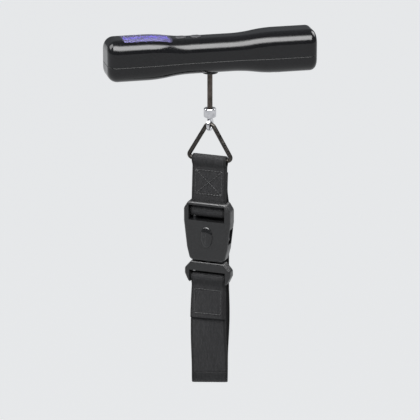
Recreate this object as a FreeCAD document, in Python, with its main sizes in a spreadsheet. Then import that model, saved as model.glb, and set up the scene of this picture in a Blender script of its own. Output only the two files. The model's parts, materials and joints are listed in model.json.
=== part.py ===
import FreeCAD, Part
import math
import os
import Sketcher

# Digital luggage scale: a bar handle with a display, a load cell inside it, and a strap with a
# side-release buckle that hangs from a swivel and a wire triangle. Millimetres, +Z up. The origin is
# the centre of the bar, X runs along the bar with the display at -X, and the front is -Y.

SIZES = {
    # Bar handle: thick at both ends, slimmer where the hand closes.
    "bar_length": 145,
    "bar_height": 29,
    "bar_depth": 28,
    "waist_drop": 2.2,
    "waist_tuck": 1.8,
    "waist_start": 46,
    "waist_flat": 14,
    "long_round": 9,
    "left_round": 7,
    "right_round": 4.5,
    "parting_level": -2.8,
    "seam_round": 0.3,
    "cavity_length": 136,
    "cavity_height": 20.6,
    "cavity_depth": 20.2,
    "cavity_round": 6,
    # Display.
    "window_centre": -44.5,
    "window_length": 34,
    "window_width": 18,
    "window_round": 2,
    "window_seat": 11,
    "window_gap": 0.1,
    "ledge": 1.3,
    "lcd_length": 30.6,
    "lcd_width": 15,
    "lcd_level": 7.4,
    "lcd_thickness": 2.6,
    "backlight_thickness": 1.4,
    # Circuit board and what is on it.
    "board_left": -60,
    "board_right": -5,
    "board_width": 18,
    "board_level": 3.6,
    "board_thickness": 1.6,
    "board_screw_place": -26.5,
    "board_screw_spread": 15,
    # Push buttons.
    "power_place": -20.5,
    "unit_place": -10,
    "cap_length": 7.6,
    "cap_width": 5.6,
    "cap_top": 13.1,
    "cap_gap": 0.15,
    "flange_level": 8.9,
    "flange_thickness": 1,
    "flange_border": 1,
    "plunger_radius": 1.2,
    "plunger_level": 6.6,
    "dome_radius": 3,
    "dome_height": 0.6,
    # Load cell: an aluminium beam, held at one end, with the stem through the other.
    "cell_left": -7,
    "cell_right": 37,
    "cell_width": 12,
    "cell_level": -6,
    "cell_height": 9,
    "cell_hole_radius": 3,
    "cell_hole_place": 15,
    "cell_hole_spread": 9,
    "plate_left": 25,
    "plate_right": 38.5,
    "plate_thickness": 2.6,
    "cell_screw_first": 28.5,
    "cell_screw_second": 34.5,
    # Pull stem, nut and bushing.
    "stem_radius": 1.8,
    "stem_top": 6.2,
    "stem_head_radius": 3,
    "stem_head_height": 1.5,
    "nut_flats": 7,
    "nut_height": 3,
    "bushing_radius": 4.6,
    "bushing_lip": 5.6,
    # Case screws.
    "screw_radius": 1.1,
    "screw_head_radius": 2.2,
    "screw_head_height": 1.6,
    "screw_recess": 3.4,
    "screw_length": 13.6,
    "boss_radius": 2.8,
    "left_screw_place": -65,
    "left_screw_spread": 10,
    "right_screw_place": 42.5,
    "right_screw_spread": 13,
    # Battery: a 20 mm coin cell behind a door that slides off the right end.
    "battery_place": 59,
    "battery_radius": 10,
    "battery_level": -9.7,
    "battery_thickness": 3.2,
    "well_radius": 10.9,
    "door_left": 46,
    "door_width": 21.2,
    "door_top": -10,
    "door_gap": 0.15,
    # Swivel.
    "barrel_radius": 4.3,
    "barrel_top": -38.5,
    "barrel_bottom": -45,
    "swivel_gap": 0.05,
    "eye_thickness": 2.2,
    "eye_radius": 4.6,
    "eye_hole_radius": 2.2,
    # Triangle ring, measured on the centre line of its wire.
    "wire_radius": 1.5,
    "apex_level": -50.2,
    "base_level": -75,
    "base_half": 16.6,
    "apex_bend": 3.6,
    "corner_bend": 2.2,
    # Webbing.
    "web_width": 25,
    "web_thickness": 1.4,
    "web_gap": 0.25,
    "hang_turn": -33,
    "loop_turn": -14,
    "buckle_offset": -2,
    "rear_offset": 4.6,
    "rear_start": -84,
    "rear_leave": -97,
    "rear_bend": -107.5,
    "fold_end": -189,
    "twist_start": -168,
    "loop_level": -226.6,
    "loop_radius": 10,
    # Buckle, female half above the male half.
    "female_top": -104.5,
    "female_top_half": 13.6,
    "shoulder_upper": -110,
    "shoulder_lower": -119,
    "shoulder_half": 17,
    "flank_level": -138,
    "flank_half": 14.8,
    "mouth_level": -147.2,
    "mouth_half": 12.5,
    "female_thickness": 10.6,
    "female_corner_round": 3.4,
    "female_rim_round": 2,
    "strap_slot_width": 26.2,
    "slot_upper": -106.9,
    "slot_lower": -118,
    "cross_bar_height": 4,
    "cross_bar_depth": 3,
    "female_bar_level": -112.3,
    "socket_half": 11.4,
    "socket_thickness": 6.6,
    "socket_top": -120,
    "side_window_upper": -123.2,
    "side_window_lower": -134.4,
    "oval_level": -129.5,
    "oval_half_width": 4.4,
    "oval_half_height": 7.6,
    "oval_rise": 1.9,
    "male_top": -148,
    "male_top_half": 11.8,
    "lobe_upper": -153.8,
    "lobe_lower": -157.8,
    "lobe_half": 16.8,
    "male_bottom": -164,
    "male_bottom_half": 14,
    "male_thickness": 8,
    "male_corner_round": 2.6,
    "male_rim_round": 1.8,
    "male_slot_upper": -154.8,
    "male_bar_level": -160,
    "guide_half": 2,
    "guide_top": -124.5,
    "prong_thickness": 5.8,
    "prong_top": -122.5,
    "prong_inner": 6.6,
    "prong_outer": 10.9,
    "catch_half": 14.7,
    "catch_upper": -124.4,
    "catch_lower": -133.4,
}

document = FreeCAD.newDocument("luggage_scale")
sheet = document.addObject("Spreadsheet::Sheet", "Size")
for row, (alias, number) in enumerate(SIZES.items(), 1):
    sheet.set(f"A{row}", alias)
    sheet.set(f"B{row}", str(number))
    sheet.setAlias(f"B{row}", alias)
document.recompute()

Vector = FreeCAD.Vector
UP = Vector(0, 0, 1)
subparts = []


def size(expression):
    """The number that a spreadsheet expression stands for now."""
    return float(sheet.evalExpression(expression))


def bind(item, **expressions):
    """Ties properties to spreadsheet expressions; a double underscore stands for a dot."""
    for name, expression in expressions.items():
        item.setExpression(name.replace("__", "."), expression)


def finish(item, label):
    """Names a finished sub-part and puts it on the list that is written out."""
    item.Label = label
    subparts.append(item)
    return item


def turn_about_stem(item, angle="Size.hang_turn"):
    """Turns a hanging part about the vertical through the stem."""
    bind(item, Placement__Rotation__Angle=angle)
    return item


# ---- primitives -------------------------------------------------------------------------------


def box(name, x, y, z, length, width, height):
    """A block centred on x and y, standing on level z."""
    item = document.addObject("Part::Box", name)
    bind(item, Length=length, Width=width, Height=height)
    bind(item, Placement__Base__x=f"({x}) - ({length}) / 2")
    bind(item, Placement__Base__y=f"({y}) - ({width}) / 2")
    bind(item, Placement__Base__z=z)
    return item


def cylinder(name, x, y, z, radius, height):
    """An upright cylinder standing on level z."""
    item = document.addObject("Part::Cylinder", name)
    bind(item, Radius=radius, Height=height)
    bind(item, Placement__Base__x=x, Placement__Base__y=y, Placement__Base__z=z)
    return item


def lying_cylinder(name, x, z, radius, width):
    """A cylinder along Y, centred on the bar's middle plane."""
    item = document.addObject("Part::Cylinder", name)
    item.Placement = FreeCAD.Placement(Vector(), FreeCAD.Rotation(Vector(1, 0, 0), 90))
    bind(item, Radius=radius, Height=width)
    bind(item, Placement__Base__x=x, Placement__Base__y=f"({width}) / 2", Placement__Base__z=z)
    return item


def joined(name, shapes):
    item = document.addObject("Part::MultiFuse", name)
    item.Shapes = shapes
    return item


def cut(name, base, tool):
    item = document.addObject("Part::Cut", name)
    item.Base = base
    item.Tool = tool
    return item


def common(name, first, second):
    item = document.addObject("Part::Common", name)
    item.Base = first
    item.Tool = second
    return item


def group(name, shapes):
    item = document.addObject("Part::Compound", name)
    item.Links = shapes
    return item


def rounded_box(name, x, y, z, length, width, height, radius, direction):
    """A block with the four edges that run along a direction rounded."""
    item = document.addObject("Part::Fillet", name)
    item.Base = box(name + "_block", x, y, z, length, width, height)
    document.recompute()
    rounding = size(radius)
    along = [
        number
        for number, edge in enumerate(item.Base.Shape.Edges, 1)
        if abs(edge.tangentAt(edge.FirstParameter).dot(direction)) > 0.99
    ]
    item.Edges = [(number, rounding, rounding) for number in along]
    return item


# ---- sketches and bodies ----------------------------------------------------------------------


def new_body(name):
    return document.addObject("PartDesign::Body", name)


def new_sketch(body, name, role):
    """A sketch on one of the body's own origin planes."""
    plane = next(item for item in body.Origin.OriginFeatures if item.Role == role)
    sketch = body.newObject("Sketcher::SketchObject", name)
    sketch.AttachmentSupport = (plane, [""])
    sketch.MapMode = "FlatFace"
    return sketch


def pin_point(sketch, geometry, end, place):
    """Holds one point of a sketch at a place given by two expressions."""
    for kind, expression in zip(("DistanceX", "DistanceY"), place):
        rule = Sketcher.Constraint(kind, -1, 1, geometry, end, size(expression))
        index = sketch.addConstraint(rule)
        sketch.setExpression(f"Constraints[{index}]", expression)


def add_polygon(sketch, corners):
    """A closed outline of straight lines whose corners are pairs of expressions."""
    places = [Vector(size(across), size(along), 0) for across, along in corners]
    first = sketch.GeometryCount
    for start, end in zip(places, places[1:] + places[:1]):
        sketch.addGeometry(Part.LineSegment(start, end), False)
    for index, corner in enumerate(corners):
        following = first + (index + 1) % len(corners)
        sketch.addConstraint(Sketcher.Constraint("Coincident", first + index, 2, following, 1))
        pin_point(sketch, first + index, 1, corner)


def add_rectangle(sketch, centre_x, centre_y, width, height):
    left, right = f"{centre_x} - ({width}) / 2", f"{centre_x} + ({width}) / 2"
    low, high = f"{centre_y} - ({height}) / 2", f"{centre_y} + ({height}) / 2"
    add_polygon(sketch, [(left, low), (right, low), (right, high), (left, high)])


def mirrored(corners):
    """A right-hand outline, from top to bottom, closed by its mirror image on the left."""
    return corners + [(f"-({across})", along) for across, along in reversed(corners)]


def pad(body, sketch, length, name="Pad"):
    item = body.newObject("PartDesign::Pad", name)
    item.Profile = sketch
    item.Midplane = True
    bind(item, Length=length)
    document.recompute()
    return item


def pocket_through(body, sketch, name="Pocket"):
    """Cuts a sketch through the whole body, both ways."""
    before = body.Shape.Volume
    item = body.newObject("PartDesign::Pocket", name)
    item.Profile = sketch
    item.Midplane = True
    item.Type = 1
    document.recompute()
    assert body.Shape.Volume < before - 0.01, f"{body.Name}: {name} removed nothing"
    return item


def pocket(body, sketch, length, name="Pocket"):
    """Cuts a sketch to a depth shared by both sides of its plane."""
    before = body.Shape.Volume
    item = body.newObject("PartDesign::Pocket", name)
    item.Profile = sketch
    item.Midplane = True
    bind(item, Length=length)
    document.recompute()
    assert body.Shape.Volume < before - 0.01, f"{body.Name}: {name} removed nothing"
    return item


def fillet(body, radius, wanted, name="Fillet"):
    """Rounds every edge of the body's tip that the test wants."""
    tip = body.Tip
    edges = [f"Edge{n}" for n, edge in enumerate(tip.Shape.Edges, 1) if wanted(edge)]
    item = body.newObject("PartDesign::Fillet", name)
    item.Base = (tip, edges)
    bind(item, Radius=radius)
    document.recompute()
    return item


def revolve(body, corners, name="Revolution"):
    """Turns an outline of (radius, level) pairs about the vertical axis."""
    sketch = new_sketch(body, name + "_profile", "XZ_Plane")
    add_polygon(sketch, corners)
    item = body.newObject("PartDesign::Revolution", name)
    item.Profile = sketch
    item.ReferenceAxis = (sketch, ["V_Axis"])
    item.Angle = 360
    document.recompute()
    return item


# ---- bar handle -------------------------------------------------------------------------------


def s_curve(start, end):
    """Two equal arcs from start to end, level with the first axis at both ends."""
    run, rise = end.x - start.x, end.y - start.y
    radius = (run * run + rise * rise) / (4 * abs(rise))
    middle = (start + end) / 2
    bulge = math.copysign(radius, rise)
    arcs = []
    for near, first, last in ((start, start, middle), (end, middle, end)):
        centre = Vector(near.x, near.y + (bulge if near is start else -bulge), 0)
        halfway = (first + last) / 2 - centre
        arcs.append(Part.Arc(first, centre + halfway.normalize() * radius, last))
    return arcs


def waisted_outline(sketch, half_width, drop):
    """The dog-bone outline of the bar: level ends joined to a level waist by eased curves."""
    end, start, flat = "Size.bar_length / 2", "Size.waist_start", "Size.waist_flat"
    waist = f"{half_width} - {drop}"
    upper = [
        (f"-{end}", half_width),
        (f"-{start}", half_width),
        (f"-{flat}", waist),
        (flat, waist),
        (start, half_width),
        (end, half_width),
    ]
    lower = [(across, f"-({along})") for across, along in reversed(upper)]
    corners = upper + lower
    places = [Vector(size(across), size(along), 0) for across, along in corners]
    curved = {1, 3, 7, 9}
    pieces = []
    for index, place in enumerate(places):
        following = places[(index + 1) % len(places)]
        if index in curved:
            pieces += [sketch.addGeometry(arc, False) for arc in s_curve(place, following)]
        else:
            pieces.append(sketch.addGeometry(Part.LineSegment(place, following), False))
            pin_point(sketch, pieces[-1], 1, corners[index])
            if index + 1 in curved:
                pin_point(sketch, pieces[-1], 2, corners[index + 1])
    for here, following in zip(pieces, pieces[1:] + pieces[:1]):
        ends = [(a, b) for a in (1, 2) for b in (1, 2)]
        a, b = min(ends, key=lambda pair: gap_between(sketch, here, following, pair))
        sketch.addConstraint(Sketcher.Constraint("Coincident", here, a, following, b))


def gap_between(sketch, here, following, ends):
    return sketch.getPoint(here, ends[0]).distanceToPoint(sketch.getPoint(following, ends[1]))


def at_left_end(edge):
    return edge.CenterOfMass.x < -size("Size.bar_length / 2") + 0.01


def at_right_end(edge):
    return edge.CenterOfMass.x > size("Size.bar_length / 2") - 0.01


def runs_along_bar(edge):
    return edge.BoundBox.XLength > 3


def on_parting(edge):
    """A test for the edges of the face where the two shells meet."""
    limits = edge.BoundBox
    level = size("Size.parting_level")
    return max(abs(limits.ZMin - level), abs(limits.ZMax - level)) < 0.01


def make_bar_blank():
    """The bar's outer form, solid: a waisted slab, tucked in at the sides, with rounded edges."""
    body = new_body("bar_blank")
    side_view = new_sketch(body, "bar_side_view", "XZ_Plane")
    waisted_outline(side_view, "Size.bar_height / 2", "Size.waist_drop")
    pad(body, side_view, "Size.bar_depth")
    plan = new_body("bar_plan")
    plan_view = new_sketch(plan, "bar_plan_view", "XY_Plane")
    waisted_outline(plan_view, "Size.bar_depth / 2", "Size.waist_tuck")
    pad(plan, plan_view, "Size.bar_height")
    form = common("bar_form", body, plan)
    document.recompute()
    long_round = round_edges("bar_long_round", form, "Size.long_round", runs_along_bar)
    left_round = round_edges("bar_left_round", long_round, "Size.left_round", at_left_end)
    return round_edges("bar_right_round", left_round, "Size.right_round", at_right_end)


def round_edges(name, base, radius, wanted):
    item = document.addObject("Part::Fillet", name)
    item.Base = base
    rounding = size(radius)
    edges = [n for n, edge in enumerate(base.Shape.Edges, 1) if wanted(edge)]
    item.Edges = [(number, rounding, rounding) for number in edges]
    document.recompute()
    return item


def oval_block(name, x, z, length, width, height):
    """A flat block with rounded ends, for the push buttons and their holes."""
    middle = f"({length}) - ({width})"
    shapes = [box(name + "_middle", x, "0", z, middle, width, height)]
    for side, sign in (("left", "-"), ("right", "+")):
        centre = f"({x}) {sign} ({middle}) / 2"
        shapes.append(cylinder(f"{name}_{side}", centre, "0", z, f"({width}) / 2", height))
    return joined(name, shapes)


SCREW_PLACES = [
    ("left_front", "Size.left_screw_place", "-Size.left_screw_spread / 2"),
    ("left_rear", "Size.left_screw_place", "Size.left_screw_spread / 2"),
    ("right_front", "Size.right_screw_place", "-Size.right_screw_spread / 2"),
    ("right_rear", "Size.right_screw_place", "Size.right_screw_spread / 2"),
]
BUTTONS = {"power_button": "Size.power_place", "unit_button": "Size.unit_place"}
CEILING = "Size.cavity_height / 2"
FLOOR = "-Size.cavity_height / 2"
HEAD_SEAT = "-Size.bar_height / 2 + Size.screw_recess"


def make_cavity(name):
    return rounded_box(
        name, "0", "0", FLOOR, "Size.cavity_length", "Size.cavity_depth",
        "Size.cavity_height", "Size.cavity_round", Vector(1, 0, 0),
    )


def make_hollow_half(name, blank, level):
    """The part of the bar in the 40 mm above a level, with a softened seam edge, hollowed out."""
    space = box(f"{name}_space", "0", "0", level, "Size.bar_length + 20", "60", "40")
    half = common(f"{name}_half", blank, space)
    document.recompute()
    softened = round_edges(f"{name}_seam", half, "Size.seam_round", on_parting)
    return cut(f"{name}_hollow", softened, make_cavity(f"{name}_cavity"))


def make_upper_shell(blank):
    """Top half: recess and opening for the window, button holes, ceiling bosses for the screws."""
    hollow = make_hollow_half("upper", blank, "Size.parting_level")
    boss_height = f"{CEILING} + 0.4 - Size.parting_level"
    bosses = [
        cylinder(f"upper_boss_{name}", x, y, "Size.parting_level", "Size.boss_radius", boss_height)
        for name, x, y in SCREW_PLACES
    ]
    board_boss_level = "Size.board_level + Size.board_thickness"
    for side, sign in (("front", "-"), ("rear", "+")):
        bosses.append(
            cylinder(
                f"board_boss_{side}", "Size.board_screw_place",
                f"{sign}Size.board_screw_spread / 2", board_boss_level, "1.9",
                f"{CEILING} + 0.2 - ({board_boss_level})",
            )
        )
    solid = joined("upper_solid", [hollow, common("upper_bosses", joined("bosses_up", bosses), blank)])
    seat = rounded_box(
        "window_recess", "Size.window_centre", "0", "Size.window_seat",
        "Size.window_length + 2 * Size.window_gap", "Size.window_width + 2 * Size.window_gap",
        "8", "Size.window_round", UP,
    )
    opening = rounded_box(
        "window_opening", "Size.window_centre", "0", f"{CEILING} - 4",
        "Size.window_length - 2 * Size.ledge", "Size.window_width - 2 * Size.ledge",
        "12", "Size.window_round", UP,
    )
    tools = [seat, opening]
    for name, place in BUTTONS.items():
        gap = "2 * Size.cap_gap"
        length, width = f"Size.cap_length + {gap}", f"Size.cap_width + {gap}"
        tools.append(oval_block(f"{name}_hole", place, f"{CEILING} - 1", length, width, "9"))
    for name, x, y in SCREW_PLACES:
        hole = cylinder(f"upper_hole_{name}", x, y, "Size.parting_level - 1", "Size.screw_radius", "8")
        tools.append(hole)
    for side, sign in (("front", "-"), ("rear", "+")):
        y = f"{sign}Size.board_screw_spread / 2"
        tools.append(
            cylinder(f"board_hole_{side}", "Size.board_screw_place", y, "Size.board_level", "0.8", "4.4")
        )
    finish(cut("upper_shell", solid, joined("upper_tools", tools)), "upper_shell")


def make_lower_shell(blank):
    """Bottom half: stem hole, screw bosses, load cell pads, battery well and door recess."""
    hollow = make_hollow_half("lower", blank, "Size.parting_level - 40")
    boss_height = f"Size.parting_level - ({FLOOR}) + 0.4"
    posts = [
        cylinder(f"lower_boss_{name}", x, y, f"{FLOOR} - 0.4", "Size.boss_radius", boss_height)
        for name, x, y in SCREW_PLACES
    ]
    posts.append(
        box(
            "cell_pad", "(Size.plate_left + Size.plate_right) / 2", "0", f"{FLOOR} - 0.4",
            "Size.plate_right - Size.plate_left", "15",
            f"Size.cell_level - Size.plate_thickness - ({FLOOR}) + 0.4",
        )
    )
    solid = joined("lower_solid", [hollow, common("lower_posts", joined("posts", posts), blank)])
    tools = [
        cylinder("battery_well", "Size.battery_place", "0", "-13", "Size.well_radius", "9"),
        cylinder("bushing_hole", "0", "0", "-20", "Size.bushing_radius", "14"),
        box(
            "door_recess", "Size.door_left - Size.door_gap + 20", "0", "-30", "40",
            "Size.door_width + 2 * Size.door_gap", "Size.door_top + Size.door_gap + 30",
        ),
    ]
    for name, x, y in SCREW_PLACES:
        clearance = "Size.screw_radius + 0.15"
        tools.append(cylinder(f"lower_hole_{name}", x, y, "-20", clearance, "20"))
        seat_radius = "Size.screw_head_radius + 0.2"
        tools.append(cylinder(f"head_seat_{name}", x, y, "-20", seat_radius, f"{HEAD_SEAT} + 20"))
    for index, place in enumerate(("Size.cell_screw_first", "Size.cell_screw_second"), 1):
        tools.append(cylinder(f"cell_screw_hole_{index}", place, "0", "-20", "1.65", "14"))
        tools.append(cylinder(f"cell_screw_seat_{index}", place, "0", "-20", "2.9", f"{FLOOR} + 19"))
    finish(cut("lower_shell", solid, joined("lower_tools", tools)), "lower_shell")


def make_battery_door(blank):
    """A cover with the bar's own outer form, hollowed on its inner side."""
    outline = box(
        "door_block", "Size.door_left + 20", "0", "-30", "40", "Size.door_width", "Size.door_top + 30"
    )
    hollow = box("door_hollow", "Size.battery_place - 0.5", "0", "Size.door_top - 1.4", "19", "15", "3")
    grooves = []
    for index in range(4):
        place = f"Size.door_left + 3 + {2 * index}"
        grooves.append(box(f"door_groove_{index}", place, "0", "-15", "0.8", "7", "0.9"))
    skin = common("door_skin", blank, outline)
    finish(cut("battery_door", skin, joined("door_tools", [hollow] + grooves)), "battery_door")


def make_display(blank):
    outline = rounded_box(
        "window_block", "Size.window_centre", "0", "Size.window_seat",
        "Size.window_length", "Size.window_width", "8", "Size.window_round", UP,
    )
    finish(common("display_window", blank, outline), "display_window")
    panel = rounded_box(
        "lcd_panel", "Size.window_centre", "0", "Size.lcd_level",
        "Size.lcd_length", "Size.lcd_width", "Size.lcd_thickness", "Size.window_round", UP,
    )
    finish(panel, "lcd_panel")
    backlight_level = "Size.lcd_level - Size.backlight_thickness"
    backlight = rounded_box(
        "lcd_backlight", "Size.window_centre", "0", backlight_level,
        "Size.lcd_length - 1", "Size.lcd_width - 5", "Size.backlight_thickness", "0.4", UP,
    )
    finish(backlight, "lcd_backlight")
    board_top = "Size.board_level + Size.board_thickness"
    strips = [
        box(
            f"zebra_{side}", "Size.window_centre", f"{sign}(Size.lcd_width / 2 - 1.1)", board_top,
            "Size.lcd_length - 2", "1.8", f"Size.lcd_level - ({board_top})",
        )
        for side, sign in (("front", "-"), ("rear", "+"))
    ]
    finish(group("lcd_connectors", strips), "lcd_connectors")


def make_electronics():
    """Board with its chip, push-button domes and the two screws that hold it to the ceiling."""
    length = "Size.board_right - Size.board_left"
    middle = "(Size.board_right + Size.board_left) / 2"
    board = rounded_box(
        "board_blank", middle, "0", "Size.board_level", length, "Size.board_width",
        "Size.board_thickness", "1", UP,
    )
    holes = []
    screws = []
    for side, sign in (("front", "-"), ("rear", "+")):
        y = f"{sign}Size.board_screw_spread / 2"
        place = "Size.board_screw_place"
        holes.append(cylinder(f"board_drill_{side}", place, y, "0", "0.9", "10"))
        shank = cylinder(f"board_screw_shank_{side}", place, y, "Size.board_level - 0.1", "0.8", "4.4")
        head = cylinder(f"board_screw_head_{side}", place, y, "Size.board_level - 1.2", "1.5", "1.2")
        screws.append(joined(f"board_screw_{side}", [shank, head]))
    finish(cut("circuit_board", board, joined("board_holes", holes)), "circuit_board")
    finish(group("board_screws", screws), "board_screws")
    chip = rounded_box(
        "controller_chip", "Size.window_centre", "0", "Size.board_level - 1.4", "10", "10", "1.4", "1.5", UP
    )
    finish(chip, "controller_chip")
    board_top = "Size.board_level + Size.board_thickness"
    domes = [
        cylinder(f"{name}_dome", place, "0", board_top, "Size.dome_radius", "Size.dome_height")
        for name, place in BUTTONS.items()
    ]
    finish(group("dome_switches", domes), "dome_switches")


def make_button(name, place):
    """Cap, the flange that keeps it in the shell, and the plunger over its dome."""
    length, width = "Size.cap_length", "Size.cap_width"
    border = "2 * Size.flange_border"
    cap_level = "Size.flange_level + Size.flange_thickness"
    flange = oval_block(
        f"{name}_flange", place, "Size.flange_level", f"{length} + {border}", f"{width} + {border}",
        "Size.flange_thickness",
    )
    cap = oval_block(f"{name}_cap", place, cap_level, length, width, f"Size.cap_top - ({cap_level})")
    document.recompute()
    top = size("Size.cap_top")
    rim = round_edges(f"{name}_rim", cap, "0.5", lambda edge: edge.BoundBox.ZMin > top - 0.01)
    plunger = cylinder(
        f"{name}_plunger", place, "0", "Size.plunger_level", "Size.plunger_radius",
        "Size.flange_level - Size.plunger_level",
    )
    finish(joined(name, [flange, rim, plunger]), name)


def make_load_cell():
    """A beam with two bores joined by a slot, which bends a little as the stem pulls on it."""
    body = new_body("load_cell_blank")
    side_view = new_sketch(body, "cell_side", "XZ_Plane")
    middle = "(Size.cell_left + Size.cell_right) / 2"
    level = "Size.cell_level + Size.cell_height / 2"
    add_rectangle(side_view, middle, level, "Size.cell_right - Size.cell_left", "Size.cell_height")
    pad(body, side_view, "Size.cell_width")
    slot_view = new_sketch(body, "cell_slot", "XZ_Plane")
    add_rectangle(slot_view, "Size.cell_hole_place", level, "Size.cell_hole_spread", "1.6")
    pocket_through(body, slot_view)
    fillet(body, "0.4", lambda edge: abs(edge.tangentAt(0).y) > 0.99 and edge.CenterOfMass.x > 30)
    bores = [
        lying_cylinder(
            f"cell_bore_{side}", f"Size.cell_hole_place {sign} Size.cell_hole_spread / 2", level,
            "Size.cell_hole_radius", "Size.cell_width + 2",
        )
        for side, sign in (("left", "-"), ("right", "+"))
    ]
    bores.append(cylinder("cell_stem_bore", "0", "0", "-10", "Size.stem_radius", "20"))
    for index, place in enumerate(("Size.cell_screw_first", "Size.cell_screw_second"), 1):
        bores.append(cylinder(f"cell_thread_{index}", place, "0", "-10", "1.5", "20"))
    finish(cut("load_cell_beam", body, joined("cell_bores", bores)), "load_cell")

    gauge_level = "Size.cell_level + Size.cell_height"
    gauges = [
        box(
            f"gauge_{side}", f"Size.cell_hole_place {sign} Size.cell_hole_spread / 2", "0",
            gauge_level, "5", "4", "0.2",
        )
        for side, sign in (("left", "-"), ("right", "+"))
    ]
    finish(group("strain_gauges", gauges), "strain_gauges")

    plate = box(
        "plate_block", "(Size.plate_left + Size.plate_right) / 2", "0",
        "Size.cell_level - Size.plate_thickness", "Size.plate_right - Size.plate_left", "14",
        "Size.plate_thickness",
    )
    drills = []
    screws = []
    for index, place in enumerate(("Size.cell_screw_first", "Size.cell_screw_second"), 1):
        drills.append(cylinder(f"plate_drill_{index}", place, "0", "-10", "1.6", "10"))
        shank = cylinder(f"cell_screw_shank_{index}", place, "0", f"{FLOOR} - 1", "1.5", f"2 - ({FLOOR})")
        head = cylinder(f"cell_screw_head_{index}", place, "0", f"{FLOOR} - 3", "2.7", "2")
        screws.append(joined(f"cell_screw_{index}", [shank, head]))
    finish(cut("load_cell_plate", plate, joined("plate_drills", drills)), "load_cell_plate")
    finish(group("load_cell_screws", screws), "load_cell_screws")


def make_stem():
    """A rod from the load cell down to the swivel, with a head that the barrel turns on."""
    stem_radius, head_radius = "Size.stem_radius", "Size.stem_head_radius"
    head_level = "Size.barrel_bottom + 1.6"
    head_top = f"{head_level} + Size.stem_head_height"
    body = new_body("pull_stem")
    revolve(
        body,
        [("0", "Size.stem_top + 0.8"), (stem_radius, "Size.stem_top + 0.8"), (stem_radius, head_top),
         (head_radius, head_top), (head_radius, head_level), ("0", head_level)],
    )
    finish(body, "pull_stem")

    nut = document.addObject("Part::Prism", "nut_blank")
    bind(nut, Circumradius="Size.nut_flats / 2 / cos(30)", Height="Size.nut_height")
    bind(nut, Placement__Base__z="Size.cell_level + Size.cell_height")
    bore = cylinder("nut_bore", "0", "0", "0", stem_radius, "12")
    finish(cut("stem_nut", nut, bore), "stem_nut")

    lip_bottom = "-Size.bar_height / 2 + Size.waist_drop - 1.2"
    lip_top = "-Size.bar_height / 2 + Size.waist_drop - 0.05"
    inner = "Size.stem_radius + 0.6"
    bushing = new_body("stem_bushing")
    revolve(
        bushing,
        [(inner, lip_bottom), ("Size.bushing_lip", lip_bottom), ("Size.bushing_lip", lip_top),
         ("Size.bushing_radius", lip_top), ("Size.bushing_radius", f"{FLOOR} + 0.6"),
         (inner, f"{FLOOR} + 0.6")],
    )
    lowest = size(lip_bottom) + 0.01
    fillet(bushing, "0.5", lambda edge: edge.BoundBox.ZMax < lowest and edge.BoundBox.XLength > 8)
    finish(bushing, "stem_bushing")


def make_case_screws():
    screws = []
    for name, x, y in SCREW_PLACES:
        head_level = f"{HEAD_SEAT} - Size.screw_head_height"
        shank = cylinder(f"case_shank_{name}", x, y, head_level, "Size.screw_radius", "Size.screw_length")
        head_size = "Size.screw_head_radius", "Size.screw_head_height"
        head = cylinder(f"case_head_{name}", x, y, head_level, *head_size)
        slots = []
        for index, sides in enumerate((("2.6", "0.6"), ("0.6", "2.6"))):
            slots.append(box(f"cross_{name}_{index}", x, y, f"{head_level} - 1", *sides, "1.7"))
        solid = joined(f"case_solid_{name}", [shank, head])
        screws.append(cut(f"case_screw_{name}", solid, joined(f"cross_{name}", slots)))
    finish(group("case_screws", screws), "case_screws")


def make_battery():
    """Coin cell, the tray above it, its two contacts, and the leads to the board."""
    place = "Size.battery_place"
    cell_size = "Size.battery_radius", "Size.battery_thickness"
    cell = cylinder("battery_blank", place, "0", "Size.battery_level", *cell_size)
    document.recompute()
    finish(round_edges("battery_cell", cell, "0.5", lambda edge: edge.BoundBox.XLength > 8), "battery_cell")
    tray_level = "Size.battery_level + Size.battery_thickness + 0.6"
    tray = rounded_box("battery_tray", place, "0", tray_level, "17.6", "18.6", "1.2", "3", UP)
    finish(tray, "battery_tray")
    spring = box("contact_spring", place, "0", f"{tray_level} - 0.4", "12", "5", "0.4")
    side_place = f"{place} - Size.battery_radius - 0.45"
    side_plate = box("contact_side", side_place, "0", f"{tray_level} - 3", "0.3", "4", "3")
    tab = box("contact_tab", f"{side_place} + 1.3", "0", f"{tray_level} - 0.3", "2.9", "4", "0.3")
    side_contact = joined("contact_rim", [side_plate, tab])
    finish(group("battery_contacts", [spring, side_contact]), "battery_contacts")


def wire(places, radius, bend):
    """A round wire along straight runs that are joined by arcs of one radius."""
    edges = []
    here = places[0]
    for corner, following in zip(places[1:], places[2:]):
        into = (corner - here).normalize()
        out = (following - corner).normalize()
        half_turn = into.getAngle(out) / 2
        reach = bend * math.tan(half_turn)
        start, end = corner - into * reach, corner + out * reach
        inward = (out - into).normalize()
        middle = corner + inward * (bend / math.cos(half_turn) - bend)
        edges.append(Part.makeLine(here, start))
        edges.append(Part.Arc(start, middle, end).toShape())
        here = end
    edges.append(Part.makeLine(here, places[-1]))
    direction = (places[1] - places[0]).normalize()
    section = Part.Wire(Part.makeCircle(radius, places[0], direction))
    return Part.Wire(edges).makePipeShell([section], True, False)


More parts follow.
